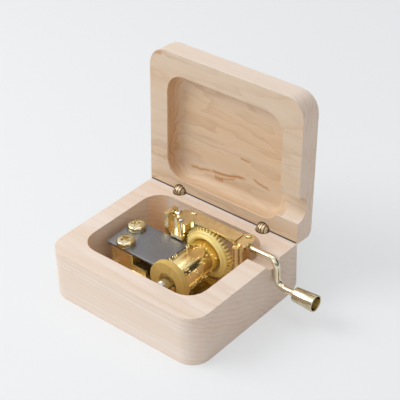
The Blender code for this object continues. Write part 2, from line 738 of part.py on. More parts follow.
def make_disc(parent):
    front = drum_place(disc_front)
    back = drum_place(disc_back)
    profile = [(arbor_bore, front + DISC_RECESS_DEPTH), (DISC_RECESS_RADIUS, front + DISC_RECESS_DEPTH),
               (DISC_RECESS_RADIUS, front), (DISC_RADIUS - DISC_EDGE, front),
               (DISC_RADIUS, front + DISC_EDGE), (DISC_RADIUS, back - DISC_EDGE),
               (DISC_RADIUS - DISC_EDGE, back), (HUB_RADIUS, back),
               (HUB_RADIUS, back + HUB_LENGTH), (arbor_bore, back + HUB_LENGTH)]
    piece("drum_end_disc", turned("drum_end_disc", profile, FINE), "yellow_plastic", parent,
          (0, 0, 0), ALONG_Y)


def make_arbor(parent):
    low = drum_place(bedplate_front + GAP)
    high = drum_place(back_bearing_back + GAP)
    step = drum_place(journal_front)
    shoulder = drum_place(disc_front + DISC_RECESS_DEPTH - GAP)
    profile = [(0, low), (ARBOR_RADIUS, low), (ARBOR_RADIUS, step), (JOURNAL_RADIUS, step),
               (JOURNAL_RADIUS, shoulder), (ARBOR_RADIUS, shoulder), (ARBOR_RADIUS, high), (0, high)]
    piece("drum_arbor", turned("drum_arbor", profile, SMALL), "bright_steel", parent,
          (0, 0, 0), ALONG_Y)


def bead_profile(front, face):
    """Round bead in front of the gear, from its inner side out."""
    middle = BEAD_RADIUS - BEAD_WIDTH / 2
    depth = face - front
    return [(middle - BEAD_WIDTH / 2 * cos(a), face - depth * sin(a))
            for a in [pi * k / DOME_STEPS for k in range(DOME_STEPS + 1)]]


def make_gear(parent):
    """Crown gear: its teeth stand out of the rim and reach the back face."""
    front = drum_place(gear_front)
    back = drum_place(gear_back)
    bead = drum_place(bead_front)
    web_back = front + WEB
    profile = [(arbor_bore, front - HUB_LENGTH), (HUB_RADIUS, front - HUB_LENGTH),
               (HUB_RADIUS, front)]
    profile += bead_profile(bead, front)
    profile += [(FLANGE_RADIUS, front + EDGE_ROUND), (GEAR_RADIUS, front + EDGE_ROUND),
                (GEAR_RADIUS, back), (RIM_INNER, back), (RIM_INNER, back - TOOTH_REACH),
                (RIM_INNER - GAP, web_back), (arbor_bore, web_back)]
    gear = piece("drum_gear", turned("drum_gear", profile, GEAR_TEETH), "yellow_plastic",
                 parent, (0, 0, 0), ALONG_Y)
    bm = bmesh.new()
    for k in range(GEAR_TEETH):
        add_tooth_gap(bm, 2 * pi * k / GEAR_TEETH, front, back)
    cut(gear, finish_mesh(bm, "cut_tooth_gaps"), (0, 0, 0), ALONG_Y)


def add_tooth_gap(bm, angle, front, back):
    """Gap between two teeth: open outside the flange and in the back face.
    It slants with the thread of the worm."""
    pitch_angle = 2 * pi / GEAR_TEETH
    lead = worm_pitch / (2 * pi * (WORM_RADIUS - MESH_DEPTH / 2))
    root = back - TOOTH_REACH
    inner = RIM_INNER - GAP
    outer = GEAR_RADIUS + GAP
    side = [(inner, back + GAP), (outer, back + GAP), (outer, front - GAP),
            (FLANGE_RADIUS, front - GAP), (FLANGE_RADIUS, root), (inner, root)]
    loops = []
    for sign in (-1, 1):
        loop = []
        for radius, height in side:
            share = GAP_TIP_SHARE if height > back else GAP_ROOT_SHARE
            skew = lead * (radius - pitch_radius) / radius
            turn = angle + sign * share * pitch_angle / 2 + skew
            loop.append((-radius * sin(turn), -radius * cos(turn), height))
        loops.append(loop)
    add_loft(bm, loops)


# Crank shaft, in the frame of its axis: Z runs to the right, from the drum's axis
def make_worm(parent):
    bore = SPINDLE_RADIUS + WORM_BORE_GAP
    core = [(bore, -worm_half), (WORM_CORE, -worm_half), (WORM_CORE, worm_half), (bore, worm_half)]
    worm = piece("worm", turned("worm", core, SMALL), "brass", parent, (0, 0, 0), ALONG_X)
    steps = int(ceil(THREAD_TURNS * SMALL))
    spots = [(k + 1 / 2) / steps - 1 / 2 for k in range(steps)]
    crest = THREAD_CREST_SHARE * worm_pitch / 2
    foot = THREAD_ROOT_SHARE * worm_pitch / 2
    section = [(WORM_CORE - THREAD_SINK, -foot), (WORM_RADIUS, -crest),
               (WORM_RADIUS, crest), (WORM_CORE - THREAD_SINK, foot)]
    loops = []
    for spot in spots:
        turn = 2 * pi * THREAD_TURNS * spot
        along = thread_length * spot
        loops.append([(r * sin(turn), -r * cos(turn), along + h) for r, h in section])
    bm = bmesh.new()
    add_loft(bm, loops)
    add(worm, finish_mesh(bm, "add_thread"), (0, 0, 0), ALONG_X)


def wire_path():
    """Centre line of the crank: along the shaft, down the arm and out along the handle."""
    start = cheek_left - SPINDLE_END
    step = drum_x + worm_half + GAP
    line = [(start, shaft_z, SPINDLE_RADIUS), (step, shaft_z, SPINDLE_RADIUS),
            (step, shaft_z, WIRE_RADIUS)]
    upper = arc(crank_x - BEND_RADIUS, shaft_z - BEND_RADIUS, BEND_RADIUS, pi / 2, 0, CORNER_STEPS)
    lower = arc(crank_x + BEND_RADIUS, handle_z + BEND_RADIUS, BEND_RADIUS, pi, 3 * pi / 2,
                CORNER_STEPS)
    line += [(x, z, WIRE_RADIUS) for x, z in upper + lower]
    return line + [(wire_end, handle_z, WIRE_RADIUS)]


def make_crank(parent):
    path = wire_path()
    bm = bmesh.new()
    loops = []
    for k, (x, z, radius) in enumerate(path):
        before = path[max(k - 1, 0)]
        after = path[min(k + 1, len(path) - 1)]
        run = (after[0] - before[0], after[1] - before[1])
        size = hypot(*run)
        tangent = (run[0] / size, run[1] / size)
        loops.append([(x - v * tangent[1] - drum_x, u, z + v * tangent[0] - shaft_z)
                      for u, v in circle(0, 0, radius, SMALL)])
    add_loft(bm, loops)
    piece("crank_wire", finish_mesh(bm, "crank_wire"), "pale_gold", parent)


def ring(name, bore, radius, low, high, finish, parent):
    """Plain ring on the shaft, from low to high in world X."""
    profile = [(bore, low - drum_x), (radius, low - drum_x), (radius, high - drum_x),
               (bore, high - drum_x)]
    piece(name, turned(name, profile, SMALL), finish, parent, (0, 0, 0), ALONG_X)


def make_shaft_rings(parent):
    low = upright_left - GAP - WASHER_WIDTH
    ring("thrust_washer", SPINDLE_RADIUS + GAP, WASHER_RADIUS, low, low + WASHER_WIDTH,
         "bright_steel", parent)
    high = tower_left - GAP
    ring("shaft_collar", WIRE_RADIUS + GAP, COLLAR_RADIUS, high - COLLAR_WIDTH, high,
         "brass", parent)


def make_knob(parent):
    """Turned sleeve, open at its outer end, free on the handle."""
    bore = KNOB_INNER_RADIUS - KNOB_WALL
    outer_bore = KNOB_OUTER_RADIUS - KNOB_WALL
    profile = [(WIRE_RADIUS + GAP, 0), (KNOB_INNER_RADIUS - KNOB_EDGE, 0),
               (KNOB_INNER_RADIUS, KNOB_EDGE), (KNOB_OUTER_RADIUS, KNOB_LENGTH - KNOB_EDGE),
               (KNOB_OUTER_RADIUS - KNOB_EDGE, KNOB_LENGTH), (outer_bore, KNOB_LENGTH),
               (bore, KNOB_END), (WIRE_RADIUS + GAP, KNOB_END)]
    piece("crank_knob", turned("crank_knob", profile, ROUND), "pale_gold", parent,
          (0, 0, 0), ALONG_X)


def make_retainer(parent):
    """Ring pressed on the end of the wire, which keeps the knob on."""
    low = wire_end - RETAINER_SET_BACK - RETAINER_WIDTH - drum_x
    bore = WIRE_RADIUS + GAP
    profile = [(bore, low), (RETAINER_RADIUS, low), (RETAINER_RADIUS, low + RETAINER_WIDTH),
               (bore, low + RETAINER_WIDTH)]
    piece("knob_retainer", turned("knob_retainer", profile, SMALL), "brass", parent,
          (0, 0, handle_z - shaft_z), ALONG_X)


# Bedplate: one casting with the comb's pedestal and the bearings
def block(name, left, right, front, back, low, high, radius=0):
    outline = rounded(rectangle(left, right, front, back), [radius] * 4)
    return prism(name, outline, low, high)


def make_bedplate():
    low = bedplate_bottom
    top = bedplate_top
    sink = top - BEDPLATE / 2
    plate = block("bedplate", pedestal_left, tower_right, bedplate_front, bedplate_back, low, top,
                  BEDPLATE_CORNER)
    bed = piece("bedplate", plate, "gold")
    pedestal_front = comb_front + PEDESTAL_EDGE
    pedestal_back = comb_back - PEDESTAL_EDGE
    add(bed, block("add_pedestal", pedestal_left, pedestal_right, pedestal_front, pedestal_back,
                   sink, pedestal_top, COMB_CORNER))
    flange_right = pedestal_right + FLANGE_WIDTH
    add(bed, block("add_flange", pedestal_right - FLANGE_CORNER, flange_right, pedestal_front,
                   pedestal_back, sink, top + FLANGE_HEIGHT, FLANGE_CORNER))
    rib = rounded(rectangle(pedestal_right - FLANGE_CORNER, flange_right, sink, top + RIB_HEIGHT),
                  [0, 0, RIB_ROUND, 0])
    add(bed, prism("add_rib", rib, pedestal_front + GAP / 2, pedestal_front + RIB_WIDTH, "XZ"))
    tower = rounded(rectangle(tower_left, tower_right, tower_front, tower_back),
                    [TOWER_CORNER, TOWER_END_RADIUS, TOWER_END_RADIUS, TOWER_CORNER])
    add(bed, prism("add_tower", tower, sink, tower_top))
    lug_right = tower_right + LUG_REACH
    lug = rounded(rectangle(plate_right + LUG_TO_PLATE, lug_right, shaft_y - LUG_FRONT,
                            shaft_y + LUG_BACK), [LUG_ROUND] * 4)
    add(bed, prism("add_lug", lug, lug_low, lug_top))
    boss_y = shaft_y - BOSS_FORWARD
    boss_x = tower_left + BOSS_INSET
    add(bed, rod("add_boss", BOSS_RADIUS, sink, tower_top - BOSS_DROP, "XY", boss_x, boss_y, SMALL))
    add(bed, prism("add_left_bearing", left_bearing_outline(), bracket_front, bracket_back, "XZ"))
    add(bed, block("add_left_block", block_left - UPRIGHT_WIDTH / 2, block_right, tower_front,
                   bracket_back, sink, tower_top))
    add(bed, block("add_block", block_right - BLOCK_WIDTH / 2, block_right + BLOCK_REACH,
                   gear_back + BACK_BEARING_GAP, bracket_back, sink, tower_top))
    add(bed, prism("add_ledge", ledge_outline(), shaft_z - LEDGE_DROP - LEDGE_THICKNESS,
                   shaft_z - LEDGE_DROP))
    add_arbor_bearings(bed, sink)
    cut(bed, rod("cut_shaft_bore", WIRE_RADIUS + GAP, tower_left - OVERRUN, tower_right + OVERRUN,
                 "YZ", shaft_y, shaft_z, SMALL))
    cut(bed, rod("cut_spindle_bore", SPINDLE_RADIUS + GAP, cheek_left - OVERRUN,
                 block_right + BLOCK_REACH + OVERRUN, "YZ", shaft_y, shaft_z, SMALL))
    cut_gear_window(bed)
    for name, (x, y) in comb_screws().items():
        cut(bed, rod("cut_comb_thread", SCREW_SHANK_RADIUS + GAP,
                     comb_top - SCREW_SHANK_LENGTH - GAP, pedestal_top + OVERRUN, "XY", x, y, SMALL))
    for x, y in rivet_places().values():
        cut(bed, rod("cut_rivet_hole", RIVET_RADIUS + GAP, tower_top - RIVET_LENGTH,
                     lug_top + OVERRUN, "XY", x, y, TINY))
    for x, y in floor_screws():
        cut(bed, rod("cut_screw_thread", FLOOR_SCREW_RADIUS + GAP, low - OVERRUN,
                     FLOOR_SCREW_SINK + FLOOR_SCREW_LENGTH + GAP, "XY", x, y, SMALL))


def left_bearing_outline():
    """Cheek, web and upright of the shaft's left end, seen from the front."""
    cheek_top = shaft_z + CHEEK_RISE
    web_top = shaft_z - WEB_DROP
    low = bedplate_top - BEDPLATE / 2
    corners = [(cheek_left, low), (block_left, low), (block_left, cheek_top),
               (upright_left, cheek_top), (upright_left, web_top), (cheek_right, web_top),
               (cheek_right, cheek_top), (cheek_left, cheek_top)]
    return rounded(corners, [0, 0, 0, 0, WEB_CORNER, WEB_CORNER, 0, 0])


def ledge_outline():
    """Ledge under the stud, which steps back beside the gear."""
    front = shaft_y - STUD_REACH - STUD_HEAD_RADIUS
    step = bead_front + BEAD_DEPTH / 2
    right = plate_left + STUD_TO_END + STUD_RADIUS
    back = tower_front + BEDPLATE
    return [(upright_left, front), (right, front), (right, step), (block_right, step),
            (block_right, back), (upright_left, back)]


def add_arbor_bearings(bed, sink):
    """Front bearing with the open cradle of the journal, and the bearing behind the gear."""
    cradle_front = bedplate_front + FRONT_BEARING_LENGTH
    cradle_back = cradle_front + CRADLE_LENGTH
    for low, high, half, closed in (
            (bedplate_front, cradle_front, BEARING_RADIUS, True),
            (cradle_front - BEDPLATE / 2, cradle_back, CRADLE_RADIUS, False),
            (back_bearing_front, back_bearing_back, BEARING_RADIUS, True)):
        top = arc(drum_x, drum_z, half, 0, pi, ROUND // 2) if closed else \
            [(drum_x + half, drum_z), (drum_x - half, drum_z)]
        outline = [(drum_x - half, sink), (drum_x + half, sink)] + top
        add(bed, prism("add_bearing", outline, low, high, "XZ"))
    cut(bed, rod("cut_arbor_bore", arbor_bore, bedplate_front - OVERRUN,
                 back_bearing_back + OVERRUN, "XZ", drum_x, drum_z, SMALL))
    cut(bed, rod("cut_journal_bore", JOURNAL_RADIUS + GAP, cradle_front, cradle_back + OVERRUN,
                 "XZ", drum_x, drum_z, ROUND))


def cut_gear_window(bed):
    """Window that the rim of the gear dips into."""
    drop = drum_z - bedplate_top
    half = sqrt(max(GEAR_RADIUS ** 2 - drop ** 2, 0)) + 3 * GAP
    low = bedplate_bottom - OVERRUN
    cut(bed, block("cut_window", drum_x - half, drum_x + half, gear_front - BACK_BEARING_GAP,
                   back_bearing_front, low, bedplate_top + OVERRUN))


# Top plate and its rivets
def plate_outline():
    front = shaft_y - PLATE_FRONT
    arm = shaft_y - ARM_REACH
    arm_right = plate_left + ARM_WIDTH
    corners = [(plate_left, arm), (arm_right, arm), (arm_right, front), (plate_right, front),
               (plate_right, shaft_y + PLATE_BACK), (plate_left, shaft_y + PLATE_BACK)]
    return rounded(corners, [ARM_ROUND, PLATE_CORNER, NOTCH_RADIUS, 0, 0, PLATE_CORNER])


def rivet_places():
    return {"left": (plate_left + RIVET_TO_END, shaft_y + RIVET_BACK),
            "right": (tower_left + RIGHT_RIVET_X, shaft_y + RIGHT_RIVET_BACK)}


def stud_place():
    return plate_left + STUD_TO_END, shaft_y - STUD_REACH


def make_top_plate():
    plate = piece("top_plate", prism("top_plate", plate_outline(), plate_bottom, plate_top), "gold")
    x, y = rivet_places()["left"]
    cut(plate, rod("cut_rivet_hole", RIVET_RADIUS + GAP, plate_bottom - OVERRUN,
                   plate_top + OVERRUN, "XY", x, y, TINY))
    x, y = stud_place()
    cut(plate, rod("cut_stud_hole", STUD_RADIUS + GAP, plate_bottom - OVERRUN,
                   plate_top + OVERRUN, "XY", x, y, TINY))


def make_rivets():
    for name, (x, y) in rivet_places().items():
        seat = plate_top if name == "left" else lug_top
        length = seat + GAP - tower_top + RIVET_LENGTH - 2 * GAP
        profile = pan_head(RIVET_HEAD_RADIUS, HEAD_HEIGHT, RIVET_RADIUS, length)
        piece("rivet_" + name, turned("rivet_" + name, profile, TINY), "gold", None,
              (x, y, seat + GAP))
    x, y = stud_place()
    length = plate_top - (shaft_z - LEDGE_DROP)
    profile = pan_head(STUD_HEAD_RADIUS, HEAD_HEIGHT, STUD_RADIUS, length)
    piece("plate_stud", turned("plate_stud", profile, TINY), "bright_steel", None,
          (x, y, plate_top + GAP))


# Screws that hold the movement in the box
def floor_screws():
    return [(pedestal_left + PEDESTAL_WIDTH * PEDESTAL_SCREW_SHARE, comb_middle),
            (tower_left + TOWER_WIDTH * TOWER_SCREW_SHARE, (tower_front + tower_back) / 2)]


def make_floor_screws():
    for name, (x, y) in zip(("left", "right"), floor_screws()):
        profile = pan_head(FLOOR_SCREW_HEAD_RADIUS, FLOOR_SCREW_HEAD, FLOOR_SCREW_RADIUS,
                           FLOOR_SCREW_LENGTH - FLOOR_SCREW_HEAD)
        piece("floor_screw_" + name, turned("floor_screw", profile, SMALL), "bright_steel", None,
              (x, y, FLOOR_SCREW_SINK + FLOOR_SCREW_HEAD), (pi, 0, 0))


lid_axis = axis_empty("lid_axis", (0, hinge_y, hinge_z), (-OPEN_ANGLE, 0, 0))
drum_axis = axis_empty("drum_axis", (drum_x, comb_middle, drum_z))
crank_axis = axis_empty("crank_axis", (drum_x, shaft_y, shaft_z))
knob_axis = axis_empty("knob_axis", (knob_x - drum_x, 0, handle_z - shaft_z), (0, 0, 0), crank_axis)

make_base()
make_lid(lid_axis)
make_hinges(lid_axis)
make_bedplate()
make_comb()
make_comb_screws()
make_drum(drum_axis)
make_disc(drum_axis)
make_gear(drum_axis)
make_arbor(drum_axis)
make_top_plate()
make_rivets()
make_worm(crank_axis)
make_crank(crank_axis)
make_shaft_rings(crank_axis)
make_retainer(crank_axis)
make_knob(knob_axis)
make_floor_screws()
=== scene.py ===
import json
from math import atan2, cos, pi, radians, sin, sqrt, tan
from random import Random

import bmesh
import bpy
from mathutils import Matrix, Vector

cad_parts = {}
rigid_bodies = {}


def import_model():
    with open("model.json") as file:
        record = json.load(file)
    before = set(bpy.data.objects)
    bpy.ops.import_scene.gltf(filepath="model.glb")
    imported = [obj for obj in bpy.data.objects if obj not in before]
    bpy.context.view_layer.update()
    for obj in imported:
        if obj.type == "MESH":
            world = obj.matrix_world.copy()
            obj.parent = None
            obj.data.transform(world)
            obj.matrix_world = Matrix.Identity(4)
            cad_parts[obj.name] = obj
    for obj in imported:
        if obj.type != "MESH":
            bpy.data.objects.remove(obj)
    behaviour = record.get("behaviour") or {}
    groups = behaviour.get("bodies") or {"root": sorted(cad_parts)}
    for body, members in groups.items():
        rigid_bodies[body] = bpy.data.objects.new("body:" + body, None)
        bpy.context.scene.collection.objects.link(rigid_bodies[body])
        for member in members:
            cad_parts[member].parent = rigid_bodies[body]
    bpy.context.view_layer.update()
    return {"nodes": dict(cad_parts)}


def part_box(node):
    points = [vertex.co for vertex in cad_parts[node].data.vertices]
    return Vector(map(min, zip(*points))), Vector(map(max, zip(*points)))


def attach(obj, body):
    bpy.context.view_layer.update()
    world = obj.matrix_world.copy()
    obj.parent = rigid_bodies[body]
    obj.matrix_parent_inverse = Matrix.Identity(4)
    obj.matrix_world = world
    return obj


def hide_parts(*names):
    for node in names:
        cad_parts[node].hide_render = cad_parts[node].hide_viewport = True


for old in list(bpy.data.objects):
    bpy.data.objects.remove(old, do_unlink=True)

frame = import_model()
cadNodes = frame["nodes"]
scene = bpy.context.scene
mm = 0.001
print("music box: frame loaded,", len(cadNodes), "nodes")


def addObject(name, data):
    made = bpy.data.objects.new(name, data)
    scene.collection.objects.link(made)
    return made


# Camera, as the photograph was taken
cameraLook = {"place": (0.28233, -0.30053, 0.32961), "azimuth": 41.481, "elevation": 34.589,
              "roll": -2.11, "lens": 112.446, "sensor": 36.0, "near": 0.01, "far": 20}


def makeCamera(look):
    a, e, r = (radians(look[key]) for key in ("azimuth", "elevation", "roll"))
    right = Vector((cos(a), sin(a), 0))
    back = Vector((sin(a) * cos(e), -cos(a) * cos(e), sin(e)))
    up = back.cross(right)
    right, up = right * cos(r) + up * sin(r), up * cos(r) - right * sin(r)
    data = bpy.data.cameras.new("photoCamera")
    data.sensor_width, data.lens = look["sensor"], look["lens"]
    data.clip_start, data.clip_end = look["near"], look["far"]
    camera = addObject("photoCamera", data)
    turn = Matrix((right, up, back)).transposed().to_4x4()
    camera.matrix_world = Matrix.Translation(look["place"]) @ turn
    scene.camera = camera


makeCamera(cameraLook)


# Material helpers
def startMaterial(name):
    made = bpy.data.materials.new(name)
    made.use_nodes = True
    tree = made.node_tree
    return made, tree, tree.nodes["Principled BSDF"]


def addNode(tree, kind, links=None, **settings):
    node = tree.nodes.new(kind)
    for key, value in settings.items():
        setattr(node, key, value)
    for socket, source in (links or {}).items():
        target = node.inputs[socket]
        if isinstance(source, bpy.types.NodeSocket):
            tree.links.new(source, target)
        else:
            target.default_value = source
    return node


def placeOn(tree, kind="Object"):
    return addNode(tree, "ShaderNodeTexCoord").outputs[kind]


def sums(tree, operation, a, b=None, c=None):
    links = {0: a}
    if b is not None:
        links[1] = b
    if c is not None:
        links[2] = c
    return addNode(tree, "ShaderNodeMath", links, operation=operation).outputs[0]


def times(tree, a, b):
    return sums(tree, "MULTIPLY", a, b)


def ramp(tree, source, stops):
    node = addNode(tree, "ShaderNodeValToRGB", {0: source})
    band = node.color_ramp
    while len(band.elements) < len(stops):
        band.elements.new(0.5)
    for element, (place, level) in zip(band.elements, stops):
        element.position = place
        element.color = (level, level, level, 1)
    return node.outputs[0]


def mixColour(tree, factor, a, b, blend="MIX"):
    node = addNode(tree, "ShaderNodeMix", data_type="RGBA", blend_type=blend)
    for index, value in ((0, factor), (6, a), (7, b)):
        target = node.inputs[index]
        if isinstance(value, bpy.types.NodeSocket):
            tree.links.new(value, target)
        elif index == 0:
            target.default_value = value
        else:
            target.default_value = (*value, 1)
    return node.outputs[2]


def tinted(tree, tone, tint):
    return mixColour(tree, 1.0, tone, tint, "MULTIPLY")


def noise(tree, vector, scale, detail=3.0, rough=0.5):
    return addNode(tree, "ShaderNodeTexNoise", {"Vector": vector, "Scale": scale,
                                                "Detail": detail, "Roughness": rough}).outputs[0]


def stretched(tree, vector, scale, turn=(0, 0, 0), shift=(0, 0, 0)):
    return addNode(tree, "ShaderNodeMapping", {"Vector": vector, "Scale": scale, "Rotation": turn,
                                               "Location": shift}).outputs[0]


def spread(tree, source, low, high, toLow=0.0, toHigh=1.0):
    return addNode(tree, "ShaderNodeMapRange",
                   {0: source, 1: low, 2: high, 3: toLow, 4: toHigh}, clamp=True).outputs[0]


def axesOf(tree, vector):
    return addNode(tree, "ShaderNodeSeparateXYZ", {0: vector}).outputs


def vectorSum(tree, operation, a, b):
    return addNode(tree, "ShaderNodeVectorMath", {0: a, 1: b}, operation=operation)


def paint(tree, shader, tone, roughness):
    tree.links.new(tone, shader.inputs["Base Color"])
    tree.links.new(roughness, shader.inputs["Roughness"])


def bump(tree, shader, height, strength, distance):
    node = addNode(tree, "ShaderNodeBump", {"Height": height, "Strength": strength,
                                            "Distance": distance})
    tree.links.new(node.outputs[0], shader.inputs["Normal"])


def srgb(*levels):
    shares = [level / 255 for level in levels]
    return tuple(v / 12.92 if v <= 0.04045 else ((v + 0.055) / 1.055) ** 2.4 for v in shares)


# Maple: the rings are gently bent planes along the width, tilted so that they run down to the
# back. Each board has its own tilt. Inside the pocket the wood takes a painted warm shade and
# bounce light, the lid's recess walls a painted shade, and the lid's inner face is darker; a
# painted shadow line runs along the lid's hinge edge. A board is worked out in millimetres, as it
# lies when the box is shut.
mapleLook = {
    "mapleBase": {
        "warm": srgb(236, 216, 196), "line": srgb(206, 175, 148),
        "endTone": srgb(225, 203, 186), "ringGap": 2.3, "tilt": 26.0, "shift": (0, 0, 0),
        "depth": 0.58, "wander": 8.0, "face": None, "axis": (0, 0, 0), "opened": 0.0,
        # pocketShadeTint: painted warm shade and bounce light inside the cavity
        "pocket": ((-31.2, -22.0, 0), (30.0, 26.0, 22.9)), "pocketShadeTint": (1.13, 0.98, 0.82),
        "streaks": ()},
    "mapleLid": {
        "warm": srgb(238, 217, 194), "line": srgb(196, 156, 120),
        "endTone": srgb(232, 210, 192), "ringGap": 2.4, "tilt": 10.0, "shift": (40, 11, 3),
        "depth": 0.9, "wander": 17.0, "face": (0, 0, -1), "axis": (0, 31.95, 23.55),
        "opened": 93.5,
        # pocketShadeTint: painted warm shade inside the recess
        "pocket": ((-31.5, -56.3, 0.45), (31.5, -4.4, 7.4)), "pocketShadeTint": (1.05, 1.01, 0.955),
        # wallShadeTint: painted shade on the recess's side walls, which face away from the light
        "wallShadeTint": (0.95, 0.84, 0.72), "faceTint": (0.81, 0.755, 0.665), "outside": 0.5,
        # painted shadow line along the hinges, where the gap between lid and base lies in shade
        "hingeShadowLine": ((-39.8, -0.75, -1), (39.8, 3, 0.6)), "hingeShadowTone": srgb(70, 42, 28),
        "hingeShadowShare": 0.95, "hingeShadowSoft": 0.15, "streakTone": srgb(186, 124, 62),
        # start, end, half width, strength, and how deep into the board from its inner face
        "streaks": (((-23.0, -9.9), (-11.0, -11.7), 0.8, 0.75, 7.8),
                    ((-12.0, -11.4), (8.5, -15.1), 0.9, 0.9, 7.8),
                    ((-9.5, -9.5), (-4.0, -9.8), 1.3, 0.75, 7.8),
                    ((-7.0, -9.9), (2.5, -12.7), 0.75, 0.65, 7.8),
                    ((11.5, -16.1), (20.5, -15.1), 0.75, 0.8, 7.8),
                    ((4.2, -23.7), (10.0, -23.5), 0.65, 0.75, 7.8),
                    ((14, -38), (26, -33.5), 0.35, 0.3, 7.8),
                    ((-22, -44), (2, -41.0), 0.35, 0.25, 7.8),
                    ((-39.7, -1.2), (-36.5, -1.6), 0.5, 0.65, 1.5),
                    ((-36, -14), (-31, -13.0), 0.4, 0.45, 1.5),
                    ((24, -28), (33, -22.5), 0.45, 0.4, 1.5),
                    ((-39.5, -61.3), (-33, -62.8), 1.2, 0.7, 1.5))},
}
# What both boards share. The grain is long in X. A noise is its stretch, scale, detail and
# roughness.
grainLook = {
    "pale": srgb(242, 228, 215),
    "wander": ((0.25, 1, 1), 0.055, 3, 0.55), "ripple": ((0.045, 1, 1), 0.35, 3, 0.6),
    "warmth": ((0.045, 1, 1), 0.13, 3, 0.5), "patch": ((0.12, 1, 1), 0.09, 2, 0.5),
    "fibre": ((0.1, 3.0, 3.0), 1.6, 4, 0.65), "wobble": ((1, 0.1, 0.3), 0.26, 2.5, 0.55),
    "rippleReach": 1.6, "wobbleReach": 3.0,
    "ring": ((0.0, 0.0), (0.55, 0.1), (0.86, 0.75), (0.93, 1.0), (1.0, 0.0)),
    "ringLeast": 0.1, "endShare": 0.55, "lineOnFace": 0.5, "lineOnEnd": 0.95,
    "fleckStretch": (0.16, 0.9, 0.9), "fleckScale": 0.9, "fleckSize": (0.05, 0.17),
    "fleckShare": 0.45, "fibreShare": 0.16, "roughness": (0.49, 0.65),
    # where a streak fades: off its line in half widths, along it, and in millimetres of depth
    "streakFade": ((0.1, 1.1), (0.12, 0.85), 0.6),
    "bumpLine": 0.4, "bump": 0.12, "bumpReach": 0.0002,
}


def boxMask(tree, place, low, high, soft=0.3):
    inner = vectorSum(tree, "SUBTRACT", place, low).outputs[0]
    outer = vectorSum(tree, "SUBTRACT", high, place).outputs[0]
    sides = axesOf(tree, vectorSum(tree, "MINIMUM", inner, outer).outputs[0])
    least = sums(tree, "MINIMUM", sums(tree, "MINIMUM", sides[0], sides[1]), sides[2])
    return spread(tree, least, 0, soft)


def streakMask(tree, axes, wobble, grain, start, end, half, strength, deep):
    (near, far), (rise, fall), soft = grain["streakFade"]
    along = sums(tree, "DIVIDE", sums(tree, "SUBTRACT", axes[0], start[0]), end[0] - start[0])
    line = sums(tree, "MULTIPLY_ADD", along, end[1] - start[1], start[1])
    off = sums(tree, "ADD", sums(tree, "SUBTRACT", axes[1], line), wobble)
    across = spread(tree, sums(tree, "ABSOLUTE", off), half * near, half * far, strength, 0)
    ends = times(tree, spread(tree, along, 0, rise), spread(tree, along, fall, 1, 1, 0))
    inside = spread(tree, axes[2], deep - soft, deep + soft, 1, 0)
    return times(tree, times(tree, across, ends), inside)


